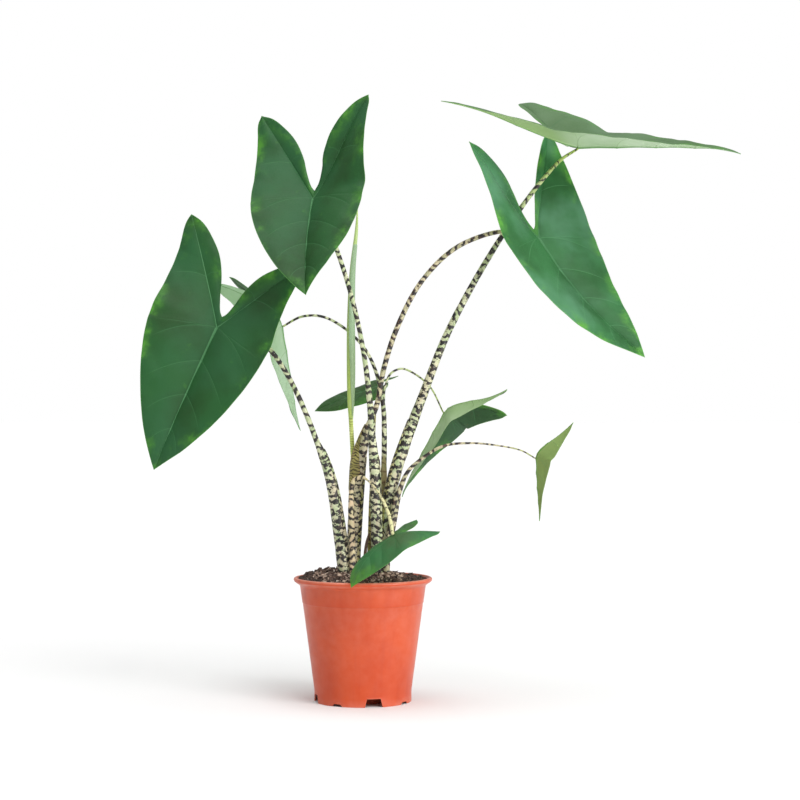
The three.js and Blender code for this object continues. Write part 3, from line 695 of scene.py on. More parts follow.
@dataclass(frozen=True)
class StalkFinish:
    """Fleshy leaf stalk: cream, rosy and green, with near-black bands that break up on a thick trunk."""

    name: str
    pale: Colour = linear(202, 204, 168)
    warm: Colour = linear(196, 186, 156)
    tint: Colour = linear(170, 184, 138)
    tip: Colour = linear(150, 174, 76)
    dark: Colour = linear(26, 25, 27)
    brown: Colour = linear(58, 46, 40)
    cover: float = 0.26
    bare: float = 0.3
    broken: float = 1.7
    slim_broken: float = 0.3
    waver: float = 0.6
    thick_radius: tuple[float, float] = (2.6, 6.5)
    tint_patches: Patch = Patch(0.09, 0.4, 0.62)
    warm_patches: Patch = Patch(1.0, 0.46, 0.62)
    warm_scale: Triple = (0.12, 0.12, 0.035)
    brown_patches: Patch = Patch(0.3, 0.45, 0.68)
    strand_scale: Triple = (1.6, 1.6, 0.05)
    strand_strength: float = 0.25
    strand_depth: float = 0.4
    gloss: float = 0.45
    strand_gloss: float = 0.12

    def ground(self, tree: Tree, wrap: Value, thick: Value) -> Value:
        """Colour under the bands: cloudy pale green, rosy streaks on a thick stalk and a colour near the tip.

        Args:
            tree: the material's tree.
            wrap: the place on the stem.
            thick: 0 on a slim stalk and 1 on a trunk.

        Returns:
            The colour.
        """
        colour = tree.mix(tree.clouds(wrap, self.tint_patches, 3.0), self.pale, self.tint)
        streaks = tree.clouds(tree.scaled(wrap, self.warm_scale), self.warm_patches)
        colour = tree.mix(streaks * thick, colour, self.warm)
        return tree.mix(tree.attribute("near_tip"), colour, self.tip)

    def make(self, groups: Groups) -> Material:
        """Builds the material: the ground, the bands over it, and fine strands along it as bump.

        Args:
            groups: the shared groups.

        Returns:
            The material.
        """
        material, tree, shader = new_finish(self.name)
        wrap = tree.attribute("wrap", "Vector")
        thick = tree.span(tree.attribute("girth"), *self.thick_radius)
        bands = tree.group(
            groups.bands,
            Wrap=wrap,
            Phase=tree.attribute("band"),
            Waver=self.waver,
            Cover=tree.attribute("marked") * (self.cover + self.bare) - self.bare,
            Break=(thick * (1 - self.slim_broken) + self.slim_broken) * self.broken,
        )
        ink = tree.mix(tree.clouds(wrap, self.brown_patches), self.dark, self.brown)
        strands = tree.noise(tree.scaled(wrap, self.strand_scale))
        tree.put(
            shader,
            Base_Color=tree.mix(bands, self.ground(tree, wrap, thick), ink),
            Normal=tree.bump(strands, self.strand_strength, self.strand_depth),
            Roughness=strands * self.strand_gloss + self.gloss,
        )
        return material


@dataclass(frozen=True)
class GrainFinish:
    """Plain grainy finish in three colours, for soil, crumbs, bark, the dry leaf base and the spear."""

    name: str
    base: Colour
    dark: Colour
    light: Colour
    size: float = 6.0
    rough: float = 0.9
    relief: float = 0.8
    stretch: Triple = (1.0, 1.0, 1.0)
    dark_patches: Patch = Patch(0.4, 0.42, 0.62)
    light_patches: Patch = Patch(1.7, 0.55, 0.72)
    light_tone: float = 0.8
    grain_scale: float = 2.4
    grain_roughness: float = 0.65
    grain_strength: float = 0.8
    gloss_spread: float = 0.2

    def make(self, groups: Groups) -> Material:
        """Builds the material: dark and light patches of two sizes, and a grainy bump.

        Args:
            groups: the shared groups.

        Returns:
            The material.
        """
        material, tree, shader = new_finish(self.name)
        place = tree.scaled(tree.place(), self.stretch)
        scale = 1 / (self.size * MM)
        large, small = (
            groups.patches(tree, place, Patch(scale * patch.scale, patch.low, patch.high))
            for patch in (self.dark_patches, self.light_patches))
        colour = tree.mix(large, self.base, self.dark)
        grain = tree.noise(place, scale * self.grain_scale, 4.0, self.grain_roughness)
        tree.put(
            shader,
            Base_Color=tree.mix(small * self.light_tone, colour, self.light),
            Normal=tree.bump(grain, self.grain_strength, self.relief),
            Roughness=grain * self.gloss_spread + (self.rough - self.gloss_spread / 2),
        )
        return material


@dataclass(frozen=True)
class PotFinish:
    """Satin terracotta-coloured plastic: upright drag marks, a worn pale rim, dust in its corners, and inner
    faces painted darker as painted shade.
    """

    name: str = "moulded terracotta plastic"
    base: Colour = linear(198, 72, 26)
    deep: Colour = linear(176, 54, 20)
    dust: Colour = linear(228, 168, 148)
    # Darker colour of the pot's inner faces: painted shade.
    inside: Colour = linear(150, 70, 50)
    deep_patches: Patch = Patch(18.0, 0.35, 0.7)
    deep_tone: float = 0.45
    drag_scale: Triple = (90.0, 90.0, 3.0)
    drag_edge: tuple[float, float] = (0.5, 0.75)
    drag_tone: float = 0.3
    dust_scale: float = 90.0
    scuff_scale: Triple = (30.0, 30.0, 90.0)
    scuff_roughness: float = 0.6
    scuff_edge: tuple[float, float] = (0.3, 0.8)
    gloss: tuple[float, float] = (0.32, 0.42)
    specular: float = 0.3
    wave_scale: float = 45.0
    wave_strength: float = 0.06
    wave_depth: float = 0.2

    def make(self, groups: Groups) -> Material:
        """Builds the material: cloudy orange, darker upright drags, pale wear and dust, and uneven gloss.

        Args:
            groups: the shared groups.

        Returns:
            The material.
        """
        material, tree, shader = new_finish(self.name)
        place = tree.place()
        cloud = groups.patches(tree, place, self.deep_patches) * self.deep_tone
        colour = tree.mix(cloud, self.base, self.deep)
        drags = tree.noise(tree.scaled(place, self.drag_scale))
        colour = tree.mix(tree.span(drags, *self.drag_edge, 0.0, self.drag_tone), colour, self.deep)
        dust = tree.attribute("corner") * tree.noise(place, self.dust_scale, 3.0)
        colour = tree.mix(dust, colour, self.dust)
        scuffs = tree.noise(tree.scaled(place, self.scuff_scale), 1.0, 3.0, self.scuff_roughness)
        tree.put(
            shader,
            # The inner faces take the darker inside colour: painted shade.
            Base_Color=tree.mix(tree.attribute("inside"), colour, self.inside),
            Normal=tree.bump(tree.noise(place, self.wave_scale, 1.0), self.wave_strength, self.wave_depth),
            Roughness=tree.span(scuffs, *self.scuff_edge, *self.gloss),
            Specular_IOR_Level=self.specular,
        )
        return material


class LeafLook(Enum):
    """Finishes of the blades: dark mature leaves, bluish fresh ones, and those seen from their pale side; one
    of them has a paler, greyer upper face as painted sheen.
    """

    DARK = LeafFinish("dark leaf")
    FRESH = LeafFinish(
        "fresh leaf", upper=linear(50, 108, 60), deep=linear(36, 86, 42), blue=linear(88, 138, 106),
        fresh=linear(88, 154, 56), rib=linear(110, 166, 118), vein=linear(76, 134, 86),
        rim=linear(92, 156, 66))
    # Upper face paler and greyer than a dark leaf: painted sheen, the grazing reflection on the far half of a
    # folded leaf. Its lower face is the leaf's own pale colour.
    LIGHT = LeafFinish(
        "leaf with painted sheen", upper=linear(88, 120, 80), deep=linear(72, 106, 62), blue=linear(98, 130, 98),
        under=linear(186, 206, 176), under_shade=linear(164, 190, 150), lobe_tone=0.8)
    HANGING = LeafFinish(
        "hanging leaf", upper=linear(58, 104, 52), under=linear(168, 192, 164),
        under_shade=linear(146, 178, 138), under_lobe=linear(126, 170, 122))
    DULL = LeafFinish(
        "dull leaf", upper=linear(44, 84, 46), deep=linear(38, 70, 34), blue=linear(54, 88, 58),
        rim=linear(112, 160, 76))
    MIXED = LeafFinish(
        "low leaf", upper=linear(46, 104, 56), deep=linear(64, 88, 52), blue=linear(70, 140, 80),
        rib=linear(84, 140, 84))
    SHADED = LeafFinish(
        "shaded leaf", upper=linear(48, 82, 30), deep=linear(42, 70, 24), blue=linear(44, 84, 40))
    OLIVE = LeafFinish("olive leaf", under=linear(142, 166, 96), under_shade=linear(124, 150, 80))


class StalkLook(Enum):
    """Finishes of stalks and sheaths."""

    CREAM = StalkFinish("zebra stalk")
    ROSY = StalkFinish(
        "rosy zebra stalk", pale=linear(196, 184, 150), tint=linear(172, 168, 132), brown=linear(86, 62, 52))
    OLIVE = StalkFinish(
        "olive sheath", pale=linear(176, 166, 96), warm=linear(160, 138, 84), tint=linear(140, 132, 72),
        dark=linear(84, 74, 40), brown=linear(58, 46, 34), cover=0.2, broken=0.8, waver=0.9)
    DUSKY = StalkFinish("dusky sheath", pale=linear(200, 192, 140), tint=linear(160, 162, 92), cover=0.3)
    HUSK = StalkFinish(
        "brown sheath", pale=linear(164, 150, 104), warm=linear(140, 120, 82), tint=linear(138, 140, 88),
        dark=linear(96, 74, 50), brown=linear(120, 96, 68), cover=0.06, broken=1.2)
    BLUSH = StalkFinish(
        "blush stalk", pale=linear(214, 190, 156), warm=linear(206, 176, 146), tint=linear(200, 188, 146),
        tip=linear(204, 202, 150), cover=0.22)
    SPEAR = StalkFinish(
        "spear stalk", pale=linear(204, 216, 128), warm=linear(190, 202, 104), tint=linear(188, 206, 104),
        dark=linear(142, 144, 62), brown=linear(160, 164, 82), cover=0.12, broken=0.6)


class GrainLook(Enum):
    """Grainy finishes, of the rolled leaf, the dry leaf base and what fills the pot."""

    SPEAR = GrainFinish(
        "rolled young leaf", linear(168, 190, 118), linear(172, 194, 98), linear(176, 196, 140),
        size=9.0, rough=0.5, relief=0.3, stretch=(1.0, 1.0, 0.12))
    SPEAR_EDGE = GrainFinish(
        "rolled leaf edge", linear(138, 164, 128), linear(126, 150, 108), linear(154, 176, 146),
        size=9.0, rough=0.5, relief=0.3, stretch=(1.0, 1.0, 0.12))
    DRY = GrainFinish(
        "dry leaf base", linear(84, 62, 44), linear(48, 34, 26), linear(120, 96, 70),
        size=3.0, stretch=(1.0, 1.0, 0.2))
    SOIL = GrainFinish("potting soil", linear(78, 60, 52), linear(46, 34, 30), linear(136, 112, 98), size=3.0)
    BARK = GrainFinish("bark crumbs", linear(98, 74, 62), linear(48, 36, 32), linear(150, 122, 104), size=4.0)
    CHIPS = GrainFinish(
        "pale chips", linear(192, 168, 150), linear(138, 112, 98), linear(226, 208, 194), size=3.0)
    GRIT = GrainFinish(
        "white grit", linear(226, 218, 206), linear(196, 184, 168), linear(242, 238, 230), size=3.0)


Look = LeafLook | StalkLook | GrainLook


class Finishes:
    """Makes the materials, each of them once."""

    def __init__(self) -> None:
        """Builds the shared groups and a material for each look and for the pot."""
        groups = Groups()
        self.pot = PotFinish().make(groups)
        self.made = {look: look.value.make(groups) for look in (*LeafLook, *StalkLook, *GrainLook)}

    def get(self, look: Look) -> Material:
        """The material of a look."""
        return self.made[look]


# -------------------------------- leaf blades

# Half of a flat blade whose midrib runs from the junction (0, 0) to the apex (1, 0).
# Each row: margin x, margin y, place on the ribs: 1 at the apex, 0 at the junction, -1 at the lobe's tip.
OUTER_MARGIN = np.array([
    (1.0, 0.0, 1.0), (0.93, 0.05, 0.9), (0.8, 0.135, 0.72), (0.6, 0.235, 0.46), (0.4, 0.315, 0.22),
    (0.22, 0.37, 0.06), (0.12, 0.392, 0.0), (0.0, 0.408, -0.04), (-0.14, 0.415, -0.22), (-0.3, 0.418, -0.44),
    (-0.45, 0.425, -0.68), (-0.57, 0.43, -0.88), (-0.62, 0.415, -1.0),
])
JUNCTION_ROW = 6

# The inner margin of a lobe, from the bottom of the cleft between the lobes to the lobe's tip.
INNER_MARGIN = np.array([
    (-0.07, 0.0, 0.0), (-0.095, 0.022, -0.05), (-0.18, 0.06, -0.16), (-0.3, 0.1, -0.32),
    (-0.42, 0.16, -0.5), (-0.52, 0.245, -0.7), (-0.6, 0.35, -0.9), (-0.62, 0.415, -1.0),
])
LOBE_TIP = OUTER_MARGIN[-1, :2]
RIB_STEPS = 240


@dataclass(frozen=True)
class Bends:
    """How the bends spread along a blade. Reaches are shares of a lobe's length."""

    droop_power: float = 1.5
    tip_droop_start: float = 0.7
    rise_rate: float = 5.0
    spread_reach: float = 0.3
    fold_reach: float = 0.6
    inner_fold_reach: float = 0.25
    swell_power: float = 0.8
    inner_swell_power: float = 0.5
    camber: float = 0.06


@dataclass(frozen=True)
class Half:
    """One half of a blade: angles that bend it, and shares of the flat outline."""

    spread: float
    lobe: float
    rise: float
    curl: float
    turn: float
    fold: float
    lobe_fold: float
    inner_fold: float
    fullness: float
    lobe_fullness: float
    inner_fullness: float


@dataclass(frozen=True)
class Leaf:
    """Posture and shape of one blade, at its junction with the stalk."""

    junction: Triple
    length: float
    width: float
    heading: float
    pitch: float
    roll: float
    droop: float
    tip_droop: float
    sweep: float
    twist: float
    tip_fold: float
    left: Half
    right: Half

    def frame(self) -> Array:
        """Leaf frame to plant frame: heading about Z, pitch upwards, then roll about the leaf's own axis."""
        return turned(Z_AXIS, self.heading) @ turned(Y_AXIS, -self.pitch) @ turned(X_AXIS, self.roll)


@dataclass(frozen=True)
class Grid:
    """Rows along a blade's body and lobes, and columns from rib to margin."""

    body: int
    lobe: int
    across: int
    inner: int


@dataclass(frozen=True)
class Path:
    """Points and frames at even steps along a rib."""

    points: Array
    frames: Array

    def at(self, places: Array) -> tuple[Array, Array]:
        """Point and frame at places along the rib, straight between steps.

        Args:
            places: places of 0 to 1, (n,).

        Returns:
            Points, (n, 3), and frames, (n, 3, 3).
        """
        exact = np.clip(places, 0, 1) * RIB_STEPS
        k = np.minimum(exact.astype(int), RIB_STEPS - 1)
        part = exact - k
        points = self.points[k] + (self.points[k + 1] - self.points[k]) * part[:, None]
        frames = self.frames[k] + (self.frames[k + 1] - self.frames[k]) * part[:, None, None]
        return points, frames


def rib_path(length: float, frames: Array, along: Array) -> Path:
    """A rib as a sum of short steps, each of which points along its frame.

    Args:
        length: the rib's length.
        frames: frames at even steps, (n, 3, 3).
        along: the direction, in a frame, that the rib follows.

    Returns:
        The path.
    """
    headings = frames @ along
    steps = (headings[1:] + headings[:-1]) * length / RIB_STEPS / 2
    return Path(np.vstack([np.zeros(3), np.cumsum(steps, axis=0)]), frames)


@dataclass(frozen=True)
class Veins:
    """How ribs and side veins run over a blade. A pair says where a change starts and ends."""

    on_body: float = 4.2
    on_lobe: float = 2.2
    body_lean: float = 0.10
    lobe_lean: float = -0.06
    widest_gap: float = 60.0
    rib_share: float = 0.011
    rib_taper: float = 0.88
    lobe_rib_share: float = 0.0065
    lobe_rib_taper: float = 0.9
    thinnest_rib: float = 0.25
    lobe_rib_tone: float = 0.75
    rib_slope: float = 0.9
    margin_slope: float = 0.85
    fade_outwards: tuple[float, float] = (0.62, 0.97)
    fade_endwards: tuple[float, float] = (0.86, 0.97)
    inner_strength: float = 0.55
    narrow_width: tuple[float, float] = (6.0, 20.0)
    lobe_start: tuple[float, float] = (-0.1, 0.2)


@dataclass(frozen=True)
class Relief:
    """How far a blade's faces stand off its middle: millimetres, and for a rib shares of its half width."""

    half_thickness: float = 0.32
    thinner_edge: float = 0.55
    edge_from: float = 0.9
    vein_depth: float = 0.3
    vein_reach: float = 1.7
    quilt: float = 0.5
    groove: float = 0.3
    groove_reach: float = 0.9
    rib_height: float = 0.95
    rib_reach: float = 1.15
    ripple: float = 0.9
    ripple_length: float = 27.0
    ripple_from: float = 0.5
    ripple_margin: tuple[float, float] = (-30.0, 30.0)


@dataclass
class Blade:
    """A leaf blade with raised ribs, sunken side veins, quilting between them and a rippled margin."""

    number: int
    leaf: Leaf
    finish: Material
    rib_tone: float
    bends: Bends = Bends()
    veins: Veins = Veins()
    relief: Relief = Relief()
    large_length: float = 150.0
    large_grid: Grid = Grid(130, 70, 32, 20)
    small_grid: Grid = Grid(76, 44, 22, 14)
    column_power: float = 1.3
    first_seed: int = 10

    def grid(self) -> Grid:
        """A finer grid for a large leaf."""
        return self.large_grid if self.leaf.length > self.large_length else self.small_grid

    def midrib(self, mirror: int) -> Path:
        """The midrib droops, droops again near the apex, sweeps sideways and twists.

        Args:
            mirror: 1 for the left half and -1 for the right.

        Returns:
            The midrib from junction to apex, in leaf lengths.
        """
        leaf, bends = self.leaf, self.bends
        s = np.linspace(0, 1, RIB_STEPS + 1)
        near_tip = np.clip((s - bends.tip_droop_start) / (1 - bends.tip_droop_start), 0, 1)
        bend = leaf.droop * s ** bends.droop_power + leaf.tip_droop * near_tip ** 2
        frames = turned(Z_AXIS, mirror * leaf.sweep * s) @ turned(Y_AXIS, bend)
        return rib_path(1.0, frames @ turned(X_AXIS, mirror * leaf.twist * s), X_AXIS)

    def lobe_rib(self, half: Half) -> Path:
        """A lobe's rib leaves the junction backwards, rises close to it, curls and turns about itself.

        Args:
            half: the half of the blade.

        Returns:
            The rib from junction to lobe tip, in leaf lengths.
        """
        angle = np.arctan2(LOBE_TIP[1], -LOBE_TIP[0]) + np.radians(half.spread)
        along = np.array([-np.cos(angle), np.sin(angle), 0])
        lift = np.array([along[1], -along[0], 0])
        f = np.linspace(0, 1, RIB_STEPS + 1)
        taken = (1 - np.exp(-self.bends.rise_rate * f)) / (1 - np.exp(-self.bends.rise_rate))
        frames = turned(lift, half.rise * taken + half.curl * f * f) @ turned(along, half.turn * f)
        return rib_path(np.hypot(*LOBE_TIP) * half.lobe, frames, along)

    def ruling_shape(self, half: Half, rib: Array, inner: bool) -> tuple[Array, Array]:
        """How wide each row is against the flat outline, and how far it folds up from the rib.

        Args:
            half: the half of the blade.
            rib: places of the rows on the ribs.
            inner: whether the rows run to the inner margin of the lobe.

        Returns:
            Width shares and fold angles.
        """
        bends = self.bends
        reach = np.minimum(np.abs(rib), 1)
        mid = np.maximum(np.sin(np.pi * reach), 0)
        if inner:
            fold = half.inner_fold * np.minimum(reach / bends.inner_fold_reach, 1)
            return 1 + half.inner_fullness * mid ** bends.inner_swell_power, fold
        body_fold = half.fold + (self.leaf.tip_fold - half.fold) * rib * rib
        lobe_fold = half.fold + (half.lobe_fold - half.fold) * np.minimum(reach / bends.fold_reach, 1)
        swell = np.where(rib > 0, half.fullness, half.lobe_fullness) * mid ** bends.swell_power
        return 1 + swell, np.where(rib > 0, body_fold, lobe_fold)

    def rulings(self, half: Half, rows: Array, full: Array) -> Array:
        """Flat steps from rib to margin, as wide as the leaf is, and turned with a lobe that is spread.

        Args:
            half: the half of the blade.
            rows: margin x, margin y and place on the rib of each row.
            full: width share of each row.

        Returns:
            A flat step for each row, (n, 2).
        """
        rib = rows[:, 2]
        flat_rib = np.where((rib > 0)[:, None], np.stack([rib, 0 * rib], 1), -rib[:, None] * LOBE_TIP)
        spread = np.where(rib > 0, 0, -half.spread * np.minimum(-rib / self.bends.spread_reach, 1))
        steps = (rows[:, :2] - flat_rib) * (self.leaf.width * full)[:, None]
        return (turned(Z_AXIS, spread)[:, :2, :2] @ steps[:, :, None])[..., 0]

    def patch(self, half: Half, mirror: int, rows: Array, inner: bool, across: int) -> Skin:
        """One side of a rib: rows of points from the rib to the margin, slightly bulging upwards.

        A row leaves the rib towards its margin point, folded up by an angle: level = out·cos − bulge·sin and
        height = out·sin + bulge·cos, where bulge = camber·width·4t(1 − t).

        Args:
            half: the half of the blade.
            mirror: 1 for the left half and -1 for the right.
            rows: margin x, margin y and place on the rib of each row.
            inner: whether the rows run to the inner margin of the lobe.
            across: steps from rib to margin.

        Returns:
            The patch in millimetres, in the leaf's frame, with its values.
        """
        rib = rows[:, 2]
        on_body = (rib > 0)[:, None]
        (mid_point, mid_frame), (lobe_point, lobe_frame) = (
            self.midrib(mirror).at(rib), self.lobe_rib(half).at(-rib))
        point = np.where(on_body, mid_point, lobe_point)
        frame = np.where(on_body[..., None], mid_frame, lobe_frame)
        full, fold = self.ruling_shape(half, rib, inner)
        ruling = self.rulings(half, rows, full)
        width = np.linalg.norm(ruling, axis=1)
        way = np.where(width[:, None] > TINY, ruling / np.maximum(width, TINY)[:, None], (0.0, 1.0))
        t = np.linspace(0, 1, across + 1) ** self.column_power
        out = width[:, None] * t
        bulge = self.bends.camber * width[:, None] * 4 * t * (1 - t)
        cos, sin = np.cos(np.radians(fold))[:, None], np.sin(np.radians(fold))[:, None]
        level, height = out * cos - bulge * sin, out * sin + bulge * cos
        local = np.stack([way[:, :1] * level, way[:, 1:] * level, height], -1)
        points = (np.einsum("rij,rkj->rki", frame, local) + point[:, None]) * self.leaf.length
        points[..., 1] *= mirror
        values = self.values(points, rib, t, width * self.leaf.length, inner)
        triangles = grid_triangles(len(rows), across + 1, flip=mirror < 0)
        return Skin(points.reshape(-1, 3), triangles, {n: v.ravel() for n, v in values.items()})

    def values(self, points: Array, rib: Array, t: Array, width: Array, inner: bool) -> dict[str, Array]:
        """Named values of a patch: vein phase and gap, distances to rib and margin, and how strong each is.

        A side vein runs where the phase is a whole number: phase = veins·place − veins·lean·t². The gap
        between two is a step from row to row, taken square to the rows, over the phase's step.

        Args:
            points: the patch's points, (rows, columns, 3).
            rib: places of the rows on the ribs.
            t: share of the way to the margin of each column.
            width: length of each row.
            inner: whether the rows run to the inner margin of the lobe.

        Returns:
            A (rows, columns) array for each name.
        """
        veins, place = self.veins, rib[:, None]
        lobe = place <= 0
        lean = np.where(lobe, veins.lobe_lean, veins.body_lean) * t ** 2
        phase = np.where(lobe, veins.on_lobe * -place, veins.on_body * place) - veins.on_body * lean
        down, along = np.gradient(points, axis=0), np.gradient(points, axis=1)
        along /= np.maximum(np.linalg.norm(along, axis=-1, keepdims=True), TINY)
        square = down - (down * along).sum(-1, keepdims=True) * along
        gap = np.linalg.norm(square, axis=-1) / np.maximum(np.abs(np.gradient(phase, axis=0)), TINY)
        lobe_share = veins.lobe_rib_share * (1 - veins.lobe_rib_taper * -place)
        half_rib = np.where(lobe, lobe_share, veins.rib_share * (1 - veins.rib_taper * place))
        half_rib = np.maximum(half_rib * self.leaf.length, veins.thinnest_rib)
        outwards = 1 - smoothstep(*veins.fade_outwards, t)
        endwards = 1 - smoothstep(*veins.fade_endwards, np.abs(place))
        strength = (veins.inner_strength if inner else 1.0) * smoothstep(*veins.narrow_width, width)[:, None]
        values = {
            "phase": phase,
            "gap": np.minimum(gap, veins.widest_gap),
            "rib": veins.rib_slope * t * width[:, None] / half_rib,
            "half_rib": half_rib,
            "rib_tone": self.rib_tone * np.where(lobe, veins.lobe_rib_tone, 1.0),
            "margin": veins.margin_slope * (1 - t) * width[:, None],
            "fade": outwards * endwards * strength,
            "edge": t,
            "lobe": smoothstep(*veins.lobe_start, -place),
        }
        return {name: np.broadcast_to(value, points.shape[:2]) for name, value in values.items()}

    def middle(self) -> Skin:
        """The blade's middle surface in the plant's frame, its patches welded along the ribs.

        Returns:
            The surface.
        """
        grid = self.grid()
        steps = np.linalg.norm(np.diff(OUTER_MARGIN[:, :2], axis=0), axis=1)
        places = np.concatenate([[0], np.cumsum(steps)])
        split = places[JUNCTION_ROW]
        at = np.concatenate([
            np.linspace(0, split, grid.body + 1), np.linspace(split, places[-1], grid.lobe + 1)[1:]])
        outer = smooth_rows(places, OUTER_MARGIN, at)
        outer[grid.body, 2] = 0
        inner = smooth_rows(-INNER_MARGIN[:, 2], INNER_MARGIN, -outer[grid.body:, 2])[::-1]
        whole = None
        for half, mirror in ((self.leaf.left, 1), (self.leaf.right, -1)):
            for rows, is_inner, across in ((outer, False, grid.across), (inner, True, grid.inner)):
                part = self.patch(half, mirror, rows, is_inner, across)
                whole = part if whole is None else whole.joined(part)
        whole.points = whole.points @ self.leaf.frame().T + np.array(self.leaf.junction)
        return whole.welded()

    def skin(self) -> Skin:
        """The finished blade: both faces move out from the middle surface by thickness, relief and ribs.

        Off is the distance to a side vein, and rib that to a rib in half widths. Both faces rise by
        quilt·step(off / gap) − depth·exp(−(off / reach)²) − groove·exp(−(rib / reach)²), with ripples at the
        edge. Below, a rib stands out by height·√(1 − (rib / reach)²).

        Returns:
            The blade's closed skin.
        """
        middle, relief = self.middle(), self.relief
        value = middle.values
        fade, edge, rib, half_rib = (value[name] for name in ("fade", "edge", "rib", "half_rib"))
        off = np.abs((value["phase"] + 0.5) % 1 - 0.5) * value["gap"]
        rise = -relief.vein_depth * fade * np.exp(-((off / relief.vein_reach) ** 2))
        rise += relief.quilt * fade * smoothstep(0.0, 0.5, off / np.maximum(value["gap"], TINY))
        rise -= relief.groove * half_rib * np.exp(-((rib / relief.groove_reach) ** 2))
        wave = relief.ripple * smoothstep(relief.ripple_from, 1.0, edge)
        wave *= smoothstep(*relief.ripple_margin, value["margin"])
        rise += wave * ripples(middle.points, relief.ripple_length, self.first_seed + self.number)
        ridge = relief.rib_height * half_rib * np.sqrt(np.maximum(1 - (rib / relief.rib_reach) ** 2, 0))
        body = relief.half_thickness * (1 - relief.thinner_edge * smoothstep(relief.edge_from, 1.0, edge))
        return middle.thickened(body + rise, body - rise + ridge)

    def build(self) -> None:
        """Makes the blade in place of the model's plain one."""
        self.skin().to_object(f"leaf_blade_{self.number}", self.finish, Slot.BLADE, f"blade_{self.number}")


# -------------------------------- leaf stalks


def catmull_rom(points: Array, at: Array) -> Array:
    """Smooth curve through points, each span a cubic whose slopes weigh gaps by the square root of distance.

    Args:
        points: the route, (n, 3).
        at: places of 0 to 1, even from point to point.

    Returns:
        Points on the curve.
    """
    spans = len(points) - 1
    route = np.vstack([2 * points[0] - points[1], points, 2 * points[-1] - points[-2]])
    k = np.minimum((at * spans).astype(int), spans - 1)
    t = (at * spans - k)[:, None]
    before, start, end, after = (route[k + step] for step in range(4))
    gap = [np.sqrt(np.linalg.norm(b - a, axis=1, keepdims=True))
           for a, b in ((before, start), (start, end), (end, after))]
    go = (start - before) / gap[0] - (end - before) / (gap[0] + gap[1]) + (end - start) / gap[1]
    come = (end - start) / gap[1] - (after - start) / (gap[1] + gap[2]) + (after - end) / gap[2]
    return (
        (1 + 2 * t) * (1 - t) ** 2 * start
        + t * (1 - t) ** 2 * gap[1] * go
        + t * t * (3 - 2 * t) * end
        + t * t * (t - 1) * gap[1] * come
    )


def on_grid(values: Array | float, shape: tuple[int, int]) -> Array:
    """A number, or one for each ring, as a value of every point of a grid."""
    rows = np.asarray(values, float)
    return np.broadcast_to(rows[:, None] if rows.ndim == 1 else rows, shape).ravel()


